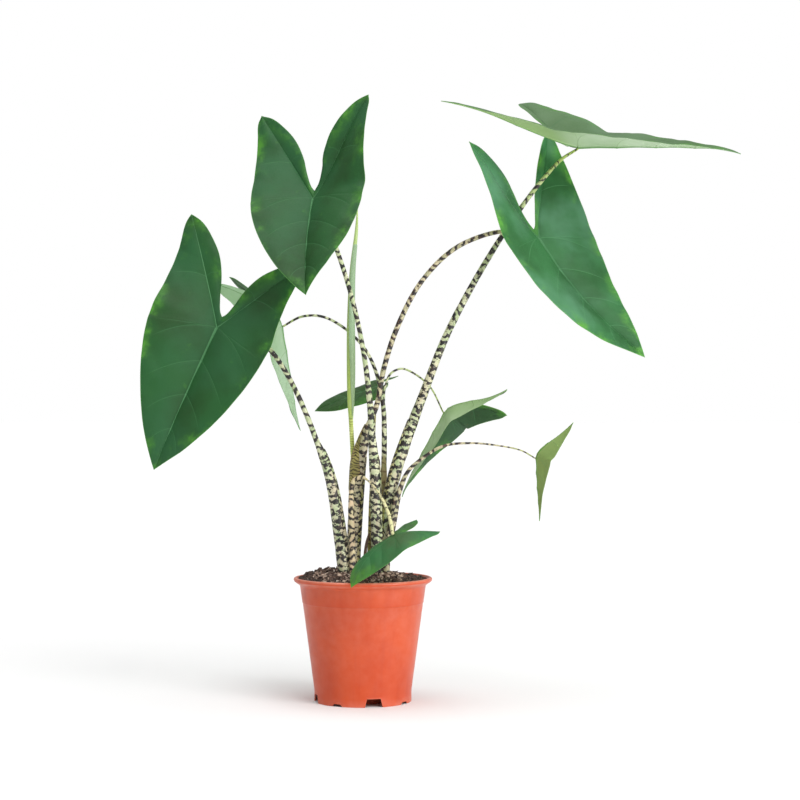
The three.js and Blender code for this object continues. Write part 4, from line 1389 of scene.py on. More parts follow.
@dataclass
class Tube:
    """A round stem along a smooth route of x, y, z and radius, as arrays of one entry for each ring.

    Start moves its marks along, so that stems differ. The bands' spacing goes from low to high over the
    settled length.
    """

    route: Array
    reference: Array = field(default_factory=lambda: Y_AXIS.copy())
    ring_step: float = 1.5
    start: float = 0.0
    low_spacing: float = 8.2
    high_spacing: float = 10.5
    settled: float = 150.0

    def __post_init__(self) -> None:
        """Works out centres, directions, radii and running sums along the stem."""
        length = np.linalg.norm(np.diff(self.route[:, :3], axis=0), axis=1).sum()
        at = np.linspace(0, 1, int(length / self.ring_step) + 2)
        self.centres = catmull_rom(self.route[:, :3], at)
        tangents = np.gradient(self.centres, axis=0)
        self.tangents = tangents / np.linalg.norm(tangents, axis=1, keepdims=True)
        lean = self.reference - (self.tangents @ self.reference)[:, None] * self.tangents
        self.across = lean / np.linalg.norm(lean, axis=1, keepdims=True)
        self.side = np.cross(self.tangents, self.across)
        knots = np.linspace(0, 1, len(self.route))
        self.radius = smooth_rows(knots, self.route[:, 3:], at)[:, 0]
        step = np.linalg.norm(np.diff(self.centres, axis=0), axis=1)
        self.along = np.concatenate([[0], np.cumsum(step)])
        spacing = np.interp(self.along, [0, self.settled], [self.low_spacing, self.high_spacing])
        self.band = np.concatenate([[0], np.cumsum(step / (spacing[1:] + spacing[:-1]) * 2)])

    def surface(self, angles: Array, reach: Array) -> Array:
        """Points round the stem: centre + reach·(cos·across + sin·side).

        Args:
            angles: angles of the columns, (rings or 1, columns).
            reach: distance from the centre line, (rings, columns).

        Returns:
            Points, (rings, columns, 3).
        """
        cos, sin = np.cos(angles)[..., None], np.sin(angles)[..., None]
        out = cos * self.across[:, None] + sin * self.side[:, None]
        return self.centres[:, None] + reach[..., None] * out

    def values(self, angles: Array, marked: Array | float, near_tip: Array | float) -> dict[str, Array]:
        """Named values of the stem's surface: place round and along it, band phase, girth and tones.

        Args:
            angles: angles of the columns, (rings or 1, columns).
            marked: how fully the bands show, for the stem or for each ring.
            near_tip: share of the tip's colour, for the stem or for each ring.

        Returns:
            One entry for each point, by name.
        """
        shape = np.broadcast_shapes(angles.shape, (len(self.centres), 1))
        radius = self.radius[:, None]
        wrap = (radius * np.cos(angles), radius * np.sin(angles), self.along + self.start)
        single = {"band": self.band, "girth": self.radius, "marked": marked, "near_tip": near_tip}
        values = {name: on_grid(value, shape) for name, value in single.items()}
        return {"wrap": np.stack([on_grid(part, shape) for part in wrap], -1), **values}

    def skin(self, sides: int, marked: Array | float = 1.0, near_tip: Array | float = 0.0,
             swell: Array | float = 0.0, wrap: float = 0.0) -> Skin:
        """Closed skin round the stem: reach = radius·(1 + wrap·(turn − ½)) + swell.

        Args:
            sides: columns round it.
            marked: how fully the bands show at each ring.
            near_tip: share of the tip's colour at each ring.
            swell: uneven addition to the radius, (rings, columns).
            wrap: step that a rolled section ends in, as a share of the radius.

        Returns:
            The skin.
        """
        share = np.arange(sides) / sides
        angles = 2 * np.pi * share[None]
        reach = self.radius[:, None] * (1 + wrap * (share - 0.5)) + swell
        points = self.surface(angles, reach).reshape(-1, 3)
        values = self.values(angles, marked, near_tip)
        rings, last = len(self.centres), len(points)
        triangles = grid_triangles(rings, sides, closed=True)
        column, after = np.arange(sides), (np.arange(sides) + 1) % sides
        low = np.stack([np.full(sides, last), after, column], -1)
        top = np.stack([np.full(sides, last + 1), last - sides + column, last - sides + after], -1)
        points = np.vstack([points, self.centres[:1], self.centres[-1:]])
        values = {name: np.concatenate([v, v[:1], v[-1:]]) for name, v in values.items()}
        return Skin(points, np.concatenate([triangles, low, top]), values)

    def height_mask(self, low: float, high: float) -> Array:
        """Which rings lie between two heights."""
        return (self.centres[:, 2] >= low) & (self.centres[:, 2] <= high)


@dataclass(frozen=True)
class Stalk:
    """A leaf stalk's route from the soil up: x, y, z and radius of each point."""

    tip_radius: float
    route: tuple[tuple[float, float, float, float], ...]
    joins_above: bool = False


@dataclass(frozen=True)
class Dress:
    """How one stalk is marked: its finish, where its tip's colour starts and how strong both are."""

    look: StalkLook = StalkLook.CREAM
    marked: float = 1.0
    tip_from: float = 0.8
    tip_tone: float = 0.35
    tip_marked: float = 0.85


@dataclass
class LeafStalk:
    """A fleshy leaf stalk that runs up to the junction, into the blade's midrib."""

    number: int
    stalk: Stalk
    leaf: Leaf
    dress: Dress
    finish: Material
    sides: int = 30
    gap: float = 0.35
    model_thickness: float = 1.1
    end_depth: float = 0.8
    end_radius: float = 0.85
    marks_apart: float = 97.0
    lumps: float = 0.022
    lump_length: float = 14.0
    lump_waves: int = 16
    first_seed: int = 40

    def route(self) -> Array:
        """The model's route, its end just under the blade or above an overturned one, and the junction.

        Returns:
            Rows of x, y, z and radius.
        """
        out = self.leaf.frame() @ Z_AXIS * (1 if self.stalk.joins_above else -1)
        junction, radius = np.array(self.leaf.junction), self.stalk.tip_radius
        end = junction + out * (self.model_thickness / 2 + self.gap + radius)
        into = junction + out * self.end_depth * radius
        return np.vstack([self.stalk.route, [*end, radius], [*into, self.end_radius * radius]])

    def tube(self) -> Tube:
        """The stem as arrays."""
        return Tube(self.route(), start=self.marks_apart * self.number)

    def build(self) -> None:
        """Makes the stalk in place of the model's plain one, with a swell of radius·lumps·noise."""
        tube = self.tube()
        near = smoothstep(self.dress.tip_from, 1.0, tube.along / tube.along[-1])
        angles = 2 * np.pi * np.arange(self.sides) / self.sides
        place = tube.surface(angles[None], np.repeat(tube.radius[:, None], self.sides, axis=1))
        lumps = ripples(place, self.lump_length, self.first_seed + self.number, self.lump_waves)
        swell = self.lumps * tube.radius[:, None] * lumps
        marked = self.dress.marked * (1 + (self.dress.tip_marked - 1) * near)
        skin = tube.skin(self.sides, marked, near * self.dress.tip_tone, swell)
        skin.to_object(f"leaf_stalk_{self.number}", self.finish, Slot.STALK, f"petiole_{self.number}")


@dataclass(frozen=True)
class Wing:
    """Free margin of a sheath: a thin strip on one of the stalks, whose pointed tip stands off a little."""

    name: str
    on: int
    low: float
    high: float
    azimuth: float
    spread: float
    look: StalkLook | GrainLook = StalkLook.CREAM
    drift: float = 0.0
    lift: float = 1.2
    stand: float = 0.5
    thickness: float = 0.6
    outer: float = 0.2
    hangs: bool = False
    marked: float = 1.0
    fineness: float = 1.0
    slant: float = 0.0
    band_shift: float = 0.37
    foot: float = 0.001
    taper_power: float = 0.6
    curled_edge: float = 0.35
    columns: int = 18

    def build(self, tube: Tube, finish: Material, slot: Slot) -> None:
        """A strip round part of the stem, which tapers and stands off towards its tip.

        With u from 0 at its foot to 1 at its tip: taper = (1 − u²)^power, half width = spread·taper, and it
        stands off by stand + lift·u³·taper + curled edge·taper·|side|³.

        Args:
            tube: the stem that it lies on.
            finish: its material.
            slot: its material slot.
        """
        keep = tube.height_mask(self.low, self.high)
        height = tube.centres[keep, 2]
        u = (height - height[0]) / (height[-1] - height[0])
        if self.hangs:
            u = 1 - u
        across = np.linspace(-1, 1, self.columns)
        taper = np.maximum(1 - u ** 2, 0) ** self.taper_power * smoothstep(0, self.foot, u)
        middle = self.azimuth - 90 + self.drift * u
        stand = self.stand + self.lift * u ** 3 * taper
        angles, reach = (np.zeros((len(keep), self.columns)) for _ in range(2))
        angles[keep] = np.radians(middle[:, None] + self.spread * taper[:, None] * across)
        reach[keep] = (tube.radius[keep] + stand)[:, None]
        reach[keep] += self.curled_edge * taper[:, None] * np.abs(across) ** 3
        points = tube.surface(angles, reach)[keep].reshape(-1, 3)
        rings = np.repeat(keep, self.columns)
        values = {name: value[rings] for name, value in tube.values(angles, self.marked, 0.0).items()}
        tilt = self.slant * np.tile(across, len(height))
        values["band"] = self.fineness * values["band"] + tilt + self.band_shift
        skin = Skin(points, grid_triangles(len(height), self.columns), values).welded(0.002)
        count = len(skin.points)
        skin = skin.thickened(np.full(count, self.outer), np.full(count, self.thickness))
        skin.to_object(self.name, finish, slot)


# -------------------------------- soil


@dataclass
class Soil:
    """Potting soil heaped round the stalks, with lumps and crumbs.

    A wave is its rates along x and y, its phase and its share; a roughness is a wavelength and a height. The
    body is the radius and height of the rings below the top.
    """

    finish: Material
    edge_height: float = 146.5
    heap_height: float = 15.0
    heap_x: float = -14.0
    heap_y: float = 4.0
    heap_spread: float = 44.0
    lump_height: float = 1.2
    waves: tuple[tuple[float, ...], ...] = (
        (0.31, 0.12, 1.3, 0.7), (-0.17, 0.29, 0.4, 0.6), (0.07, -0.21, 2.1, 0.5))
    rough: tuple[tuple[float, float], ...] = ((9.0, 1.1), (4.2, 0.75), (2.1, 0.4))
    rough_waves: int = 40
    radius: float = 78.5
    sunken_rim: float = 1.5
    sunken_from: float = 70.0
    rings: int = 84
    ring_power: float = 0.9
    columns: int = 220
    body: tuple[tuple[float, float], ...] = (
        (77.2, 143.0), (75.4, 139.5), (72.8, 120.0), (57.6, 14.5), (0.0, 14.5))

    def height(self, x: Array, y: Array) -> Array:
        """A bell with lumps, lower at the rim: edge + heap·exp(−d²/2·spread²) + lump·Σ share·sin(wave).

        Args:
            x: where to work it out.
            y: where to work it out.

        Returns:
            The height at each place.
        """
        off = ((x - self.heap_x) ** 2 + (y - self.heap_y) ** 2) / (2 * self.heap_spread ** 2)
        lumps = sum(share * np.sin(a * x + b * y + phase) for a, b, phase, share in self.waves)
        places = np.stack([x, y], -1)
        fine = sum(size * ripples(places, length, int(10 * length), self.rough_waves)
                   for length, size in self.rough)
        sink = self.sunken_rim * smoothstep(self.sunken_from, self.radius, np.hypot(x, y))
        return self.edge_height + self.heap_height * np.exp(-off) + self.lump_height * lumps + fine - sink

    def build(self) -> None:
        """Makes the body of soil: the rough top in rings, and plain sides down inside the pot."""
        angle = 2 * np.pi * np.arange(self.columns) / self.columns
        circle = np.stack([np.cos(angle), np.sin(angle)], -1)
        radii = self.radius * (np.arange(self.rings + 1) / self.rings) ** self.ring_power
        flat = radii[:, None, None] * circle
        top = np.concatenate([flat, self.height(flat[..., 0], flat[..., 1])[..., None]], -1)
        below = np.stack([np.column_stack([r * circle, np.full(self.columns, z)]) for r, z in self.body])
        points = np.concatenate([top, below])
        triangles = grid_triangles(len(points), self.columns, closed=True, flip=True)
        skin = Skin(points.reshape(-1, 3), triangles).welded()
        skin.to_object("potting_soil", self.finish, Slot.SOIL, "soil")


def ball(rows: int, columns: int) -> Skin:
    """A unit ball of a few dozen faces, in rings between two poles: cos·cos, cos·sin, sin.

    Args:
        rows: rings, with the poles.
        columns: points in a ring.

    Returns:
        The ball.
    """
    lift = np.linspace(-np.pi / 2, np.pi / 2, rows)[:, None]
    round_it = 2 * np.pi * np.arange(columns) / columns
    points = np.stack([np.cos(lift) * np.cos(round_it), np.cos(lift) * np.sin(round_it),
                       np.sin(lift) + 0 * round_it], -1)
    return Skin(points.reshape(-1, 3), grid_triangles(rows, columns, closed=True)).welded(0.001)


@dataclass(frozen=True)
class Bits:
    """Many small bits strewn over the soil, each a dented ball, stretched and turned at random."""

    name: str
    look: GrainLook
    count: int
    small: float
    large: float
    stretch: Triple
    seed: int
    spread: float = 75.0
    centre_x: float = 0.0
    centre_y: float = 0.0
    dent: float = 0.28
    sink: float = 0.15
    few_large: float = 2.2
    uneven: tuple[float, float] = (0.75, 1.3)
    tilt: float = 22.0
    rings: int = 5
    columns: int = 6

    def build(self, soil: Soil, finish: Material) -> None:
        """Point = place + turn·(stretch·size·ball·(1 + dent·noise)); places are even over the disc.

        Args:
            soil: what they lie on.
            finish: their material.
        """
        draw = np.random.default_rng(self.seed)
        unit = ball(self.rings, self.columns)
        count, corners = self.count, len(unit.points)
        size = self.small + (self.large - self.small) * draw.random(count) ** self.few_large
        dents = 1 + self.dent * draw.normal(size=(count, corners, 1))
        stretch = np.array(self.stretch) * draw.uniform(*self.uneven, (count, 3))
        local = unit.points[None] * dents * stretch[:, None] * size[:, None, None] / 2
        spin = draw.uniform(0, 360, count)
        tilt, lean = draw.normal(0, self.tilt, (2, count))
        frame = turned(Z_AXIS, spin) @ turned(X_AXIS, tilt) @ turned(Y_AXIS, lean)
        radius, angle = self.spread * np.sqrt(draw.random(count)), draw.uniform(0, 2 * np.pi, count)
        x, y = self.centre_x + radius * np.cos(angle), self.centre_y + radius * np.sin(angle)
        place = np.stack([x, y, soil.height(x, y) - self.sink * size], -1)
        points = np.einsum("nij,nkj->nki", frame, local) + place[:, None]
        triangles = unit.triangles[None] + corners * np.arange(count)[:, None, None]
        Skin(points.reshape(-1, 3), triangles.reshape(-1, 3)).to_object(self.name, finish, Slot.SOIL)


# -------------------------------- pot


@dataclass(frozen=True)
class Notch:
    """A notch in the foot's skirt: a trapezoid that is wider at the floor."""

    width: float
    top_width: float
    height: float


ROUNDING_LIMIT = 0.45  # a corner's rounding takes at most this share of the way to the next corner


def short_of(corner: Array, other: Array) -> Array:
    """Where the rounding of each corner starts, on the way to another corner.

    Args:
        corner: radius, height and rounding of the corners.
        other: radius and height of the corners beside them.

    Returns:
        Points as far from the corners as their rounding, or as the limit allows.
    """
    way = other[:, :2] - corner[:, :2]
    length = np.linalg.norm(way, axis=1, keepdims=True)
    return corner[:, :2] + way / length * np.minimum(corner[:, 2:3], ROUNDING_LIMIT * length)


@dataclass
class Pot:
    """Thin moulded pot: rolled lip, stacking step, tapered wall, skirt with notches and a raised floor."""

    finish: Material
    height: float = 151.0
    lip_radius: float = 84.6
    lip_height: float = 5.0
    lip_flare: float = 4.2
    mouth_radius: float = 80.4
    neck_radius: float = 77.0
    step_below_top: float = 31.0
    step_depth: float = 0.5
    foot_radius: float = 59.3
    crease_height: float = 13.0
    wall: float = 1.4
    channel_height: float = 12.0
    disc_radius: float = 30.0
    columns: int = 240
    closest_columns: float = 0.05
    rounding_points: int = 5
    longest_step: float = 6.0
    deep_notch: Notch = Notch(22, 17, 10)
    shallow_notch: Notch = Notch(15, 9, 3)
    first_notch: float = -76.0

    def notches(self) -> list[tuple[Notch, float]]:
        """Deep and shallow notches by turns, each with its angle."""
        kinds = (self.deep_notch, self.shallow_notch)
        return [(kinds[k % 2], self.first_notch + 45 * k) for k in range(8)]

    def neck(self) -> float:
        """Height at which the wall ends and the lip flares out."""
        return self.height - self.lip_height - self.lip_flare

    def wall_radius(self, height: float) -> float:
        """Outside of the wall: a straight taper, and one step near the top.

        Args:
            height: where to work it out.

        Returns:
            The radius.
        """
        rise = self.neck() - self.crease_height
        slope = (self.neck_radius - self.foot_radius - self.step_depth) / rise
        step = self.step_depth if height > self.height - self.step_below_top else 0
        return self.foot_radius + slope * max(height - self.crease_height, 0) + step

    def corners(self) -> list[tuple[float, float, float, float, float]]:
        """The section from the middle of the underside, out, up and back inside.

        Returns:
            Radius, height, rounding, dust share and whether it lies inside, of each corner.
        """
        neck, step = self.neck(), self.height - self.step_below_top
        wall, foot, disc, top = self.wall, self.foot_radius, self.disc_radius, self.channel_height
        lip, mouth, floor = self.lip_radius, self.mouth_radius, self.channel_height + self.wall
        below_step, flare = self.wall_radius(step), neck + self.lip_flare
        return [
            (0, 0, 0, 0, 0),
            (disc, 0, 0.8, 0.3, 0),
            (disc + wall, top, 1, 0.6, 0),
            (foot - wall, top, 1, 0.6, 0),
            (foot - wall, 0, 0.35, 0.2, 0),
            (foot, 0, 0.5, 0.4, 0),
            (foot, self.crease_height, 4, 0.1, 0),
            (below_step, step, 0.7, 0.2, 0),
            (below_step + self.step_depth, step + self.step_depth, 0.7, 0.1, 0),
            (self.neck_radius, neck, 2.0, 0.2, 0),
            (lip - 1.2, flare, 1.6, 0.5, 0),
            (lip, flare + 1.6, 0.9, 0.1, 0),
            (lip, self.height - 1.2, 0.9, 0.5, 0),
            (lip - 1.4, self.height, 0.9, 1.0, 0),
            (mouth, self.height, 0.9, 0.6, 0),
            # From here the section runs back down the inner faces, whose inside share paints them darker as
            # shade.
            (self.neck_radius - wall, neck - wall, 1.6, 0.4, 0.3),
            (below_step - wall + 1, step + 1, 0.5, 0, 1),
            (below_step - wall, step, 0.5, 0, 1),
            (foot - wall, floor + wall, 1, 0, 1),
            (foot - 2 * wall, floor, 1, 0, 1),
            (disc, floor, 1, 0, 1),
            (disc - wall, wall, 1, 0, 1),
            (0, wall, 0, 0, 1),
        ]

    def profile(self) -> Array:
        """The section with each corner replaced by a short curve: start·(1−t)² + 2·corner·t(1−t) + end·t².

        Returns:
            Rows of radius, height, dust share and inside share.
        """
        rows = np.array(self.corners(), float)
        before, here, after = rows[:-2], rows[1:-1], rows[2:]
        t = np.linspace(0, 1, self.rounding_points)[None, :, None]
        start, end = short_of(here, before)[:, None], short_of(here, after)[:, None]
        curve = start * (1 - t) ** 2 + 2 * here[:, None, :2] * t * (1 - t) + end * t ** 2
        tones = np.repeat(here[:, None, 3:], self.rounding_points, axis=1)
        middle = np.concatenate([curve, tones], -1).reshape(-1, 4)
        dense = np.vstack([rows[:1, [0, 1, 3, 4]], middle, rows[-1:, [0, 1, 3, 4]]])
        steps = np.linalg.norm(np.diff(dense[:, :2], axis=0), axis=1)
        count = np.maximum(np.ceil(steps / self.longest_step), 1).astype(int)
        place = np.concatenate([np.arange(n) / n + k for k, n in enumerate(count)] + [[len(count)]])
        keys = np.arange(len(dense))
        return np.stack([np.interp(place, keys, dense[:, c]) for c in range(4)], -1)

    def skirt_bottom(self, angles: Array) -> Array:
        """How high the skirt's bottom edge lies at each angle: the notches' heights, with slanted sides.

        Args:
            angles: the angles, in degrees.

        Returns:
            The heights.
        """
        low = np.zeros_like(angles)
        for notch, angle in self.notches():
            off = np.abs((angles - angle + 180) % 360 - 180)
            along = np.radians(off) * self.foot_radius
            share = (notch.width / 2 - along) / ((notch.width - notch.top_width) / 2)
            low = np.maximum(low, notch.height * np.clip(share, 0, 1))
        return low

    def columns_at(self) -> Array:
        """Angles of the columns: even ones, and one at each corner of a notch.

        Returns:
            The angles, in degrees.
        """
        edges = np.array([angle + side * np.degrees(width / 2 / self.foot_radius)
                          for notch, angle in self.notches()
                          for side in (-1, 1)
                          for width in (notch.width, notch.top_width)])
        angles = np.unique(np.concatenate([np.arange(self.columns) * 360 / self.columns, edges % 360]))
        return angles[np.concatenate([[True], np.diff(angles) > self.closest_columns])]

    def build(self) -> None:
        """Turns the section about the axis; in a notch the skirt's lower rows are squeezed up."""
        section, angles = self.profile(), self.columns_at()
        low = self.skirt_bottom(angles)[None]
        radius, height, dust, inside = (section[:, c:c + 1] for c in range(4))
        outside = (radius >= self.foot_radius - self.wall - 0.01) & (inside < 0.5)
        skirt = outside & (height < self.crease_height)
        top = np.where(radius > self.foot_radius - 0.5 * self.wall, self.crease_height, self.channel_height)
        lifted = np.where(skirt, low + height * (top - low) / top, height)
        x, y = radius * np.cos(np.radians(angles)), radius * np.sin(np.radians(angles))
        points = np.stack([x, y, np.broadcast_to(lifted, x.shape)], -1)
        values = {"corner": on_grid(dust, x.shape), "inside": on_grid(inside, x.shape)}
        triangles = grid_triangles(len(section), len(angles), closed=True)
        skin = Skin(points.reshape(-1, 3), triangles, values).welded(0.005)
        skin.to_object("nursery_pot", self.finish, Slot.POT, "pot")


# -------------------------------- studio


@dataclass
class Studio:
    """White surroundings, soft light from above and the right front, a panel by the pot, and the camera."""

    camera_place: Triple = (0.0453, -2.446, 0.3675)
    lens: float = 90.0
    sensor: float = 36.0
    clip_end: float = 200.0
    ambient: float = 0.44
    key_way: Triple = (-0.55, 0.75, -0.75)
    key_strength: float = 1.5
    key_softness: float = 40.0
    top_way: Triple = (0.0, 0.1, -1.0)
    top_strength: float = 1.7
    top_softness: float = 60.0
    panel_place: Triple = (1.15, -0.95, 0.15)
    panel_target: Triple = (0.0, 0.0, 0.15)
    panel_width: float = 0.3
    panel_height: float = 0.28
    panel_power: float = 8.0
    floor_size: float = 60.0
    floor_scale: float = 2.0
    floor_pale: Colour = (0.83, 0.83, 0.83)
    floor_paler: Colour = (0.85, 0.85, 0.85)
    floor_rough: float = 0.9
    floor_specular: float = 0.1

    def build(self) -> None:
        """Adds the camera, lights, surroundings and floor."""
        bpy.context.scene.view_settings.view_transform = "Standard"
        self.camera()
        self.sun("key", self.key_way, self.key_strength, self.key_softness)
        self.sun("top", self.top_way, self.top_strength, self.top_softness)
        self.panel()
        self.surroundings()
        self.floor()

    def camera(self) -> None:
        """Adds a level camera in front."""
        data = bpy.data.cameras.new("camera")
        data.lens, data.sensor_width, data.clip_end = self.lens, self.sensor, self.clip_end
        camera = bpy.data.objects.new("camera", data)
        camera.location, camera.rotation_euler = self.camera_place, (np.pi / 2, 0, 0)
        bpy.context.scene.collection.objects.link(camera)
        bpy.context.scene.camera = camera

    def sun(self, name: str, towards: Triple, strength: float, softness: float) -> None:
        """Adds an even light from far away.

        Args:
            name: its name.
            towards: the direction that it shines along.
            strength: how bright it is.
            softness: its width in the sky in degrees, which softens shadows.
        """
        data = bpy.data.lights.new(name, "SUN")
        data.energy, data.angle = strength, np.radians(softness)
        light = bpy.data.objects.new(name, data)
        light.rotation_euler = Vector(towards).to_track_quat("-Z", "Y").to_euler()
        bpy.context.scene.collection.objects.link(light)

    def panel(self) -> None:
        """Adds a soft light close to the floor at the right, which brightens that side of the pot."""
        data = bpy.data.lights.new("panel", "AREA")
        data.shape, data.energy = "RECTANGLE", self.panel_power
        data.size, data.size_y = self.panel_width, self.panel_height
        light = bpy.data.objects.new("panel", data)
        way = Vector(self.panel_target) - Vector(self.panel_place)
        light.location, light.rotation_euler = self.panel_place, way.to_track_quat("-Z", "Y").to_euler()
        bpy.context.scene.collection.objects.link(light)

    def surroundings(self) -> None:
        """Adds surroundings that are white where they are seen directly, and dimmer as a light."""
        world = bpy.data.worlds.new("white room")
        world.use_nodes = True
        world.node_tree.nodes.clear()
        tree = Tree(world.node_tree)
        seen, light = tree.add("ShaderNodeBackground"), tree.add("ShaderNodeBackground")
        tree.put(seen, Color=(1.0, 1.0, 1.0), Strength=1.0)
        tree.put(light, Color=(1.0, 1.0, 1.0), Strength=self.ambient)
        mix, output = tree.add("ShaderNodeMixShader"), tree.add("ShaderNodeOutputWorld")
        direct = tree.add("ShaderNodeLightPath").outputs["Is Camera Ray"]
        for source, socket in zip((direct, light.outputs[0], seen.outputs[0]), mix.inputs):
            tree.tree.links.new(source, socket)
        tree.tree.links.new(mix.outputs[0], output.inputs["Surface"])
        bpy.context.scene.world = world

    def floor(self) -> None:
        """Adds a plain pale floor under the pot."""
        half = self.floor_size / 2
        corners = [(-half, -half, 0), (half, -half, 0), (half, half, 0), (-half, half, 0)]
        mesh = bpy.data.meshes.new("floor")
        mesh.from_pydata(corners, [], [(0, 1, 2, 3)])
        material, tree, shader = new_finish("pale floor")
        colour = tree.mix(tree.noise(tree.place(), self.floor_scale), self.floor_pale, self.floor_paler)
        tree.put(shader, Base_Color=colour, Roughness=self.floor_rough)
        tree.put(shader, Specular_IOR_Level=self.floor_specular)
        mesh.materials.append(material)
        floor = bpy.data.objects.new("floor", mesh)
        bpy.context.scene.collection.objects.link(floor)


# -------------------------------- this plant

# Each leaf: junction, length, width, heading, pitch, roll, droop, tip droop, sweep, twist and tip fold.
# Each half: spread, lobe, rise, curl, turn, fold, lobe fold, inner fold, fullness of body, lobe and inside.
LEAVES = (
    Leaf((-173, -60, 454), 186, 1.09, -151, -63, -42, 10, -1, -1, -5, 12,
         Half(2, 0.89, 10, -11, 16, 7, 9, 9, 0.06, -0.08, -0.1),
         Half(2, 1.06, 9, 6, -1, 21, -1, -8, -0.01, -0.05, 0.03)),
    Leaf((-58, -70, 607), 157, 1.16, -100, -51, 17, 1, 3, 10, -3, 23,
         Half(2, 1.21, 27, -14, -6, 5, 3, 26, 0.13, -0.01, 0.08),
         Half(-5, 1.1, 35, 5, -8, 27, 1, 10, 0.02, 0, 0.03)),
    Leaf((214, -15, 564), 199, 0.97, -36, -55, 18, -12, 9, 20, 11, 13,
         Half(-5, 0.98, 26, -10, 5, 7, 8, 13, -0.08, 0.01, -0.35),
         Half(-8, 0.98, 24, -8, -7, 15, 10, -2, 0.17, -0.02, 0.18)),
    Leaf((264, 10, 679), 215, 0.98, -27, -3, -6, 6, 13, -9, 11, -1,
         Half(-4, 0.93, 43, -19, -18, 23, 10, 19, -0.34, 0.01, 0),
         Half(7, 1.13, 20, -19, -3, -1, -11, 18, -0.1, -0.02, 0)),
    Leaf((-101, 20, 458), 131, 0.94, 177, -100, -12, 0, 8, -8, -1, 13,
         Half(0, 1.13, 53, 7, 7, 29, 37, -5, -0.01, 0.07, -0.05),
         Half(2, 1.08, 34, 0, -7, 7, -7, 12, 0.16, 0.04, -0.09)),
    Leaf((16, 85, 385), 86, 0.94, 171, -20, -44, 1, 1, 4, -14, 8,
         Half(29, 0.95, 36, 16, 10, 10, -13, 21, 0.03, -0.06, -0.1),
         Half(18, 0.71, -38, 2, 8, -25, -12, 11, 0.02, 0.04, -0.08)),
    Leaf((101, 45, 351), 119, 0.92, -8, -120, 0, -4, -10, 7, 0, -3,
         Half(-9, 0.93, 71, 6, -9, 41, 26, -6, -0.28, 0.03, -0.19),
         Half(-4, 1.08, 58, -32, 8, 18, 2, 20, 0.02, -0.03, -0.2)),
    Leaf((211, -20, 297), 77, 1.0, 34, -89, 30, -4, 9, -17, 10, 9,
         Half(-8, 0.97, 62, 3, 3, 11, 7, 18, -0.03, 0.01, -0.09),
         Half(4, 1.2, 53, -19, 8, 23, 11, 35, -0.24, 0.02, -0.12)),
    Leaf((38, -75, 207), 83, 1.09, -159, -32, 1, 40, -5, 5, -32, -4,
         Half(-6, 0.9, -30, 0, -11, -23, -21, -12, 0.04, -0.02, 0.19),
         Half(2, 0.88, -16, 13, 6, -15, 11, -30, -0.04, -0.05, -0.16)),
)

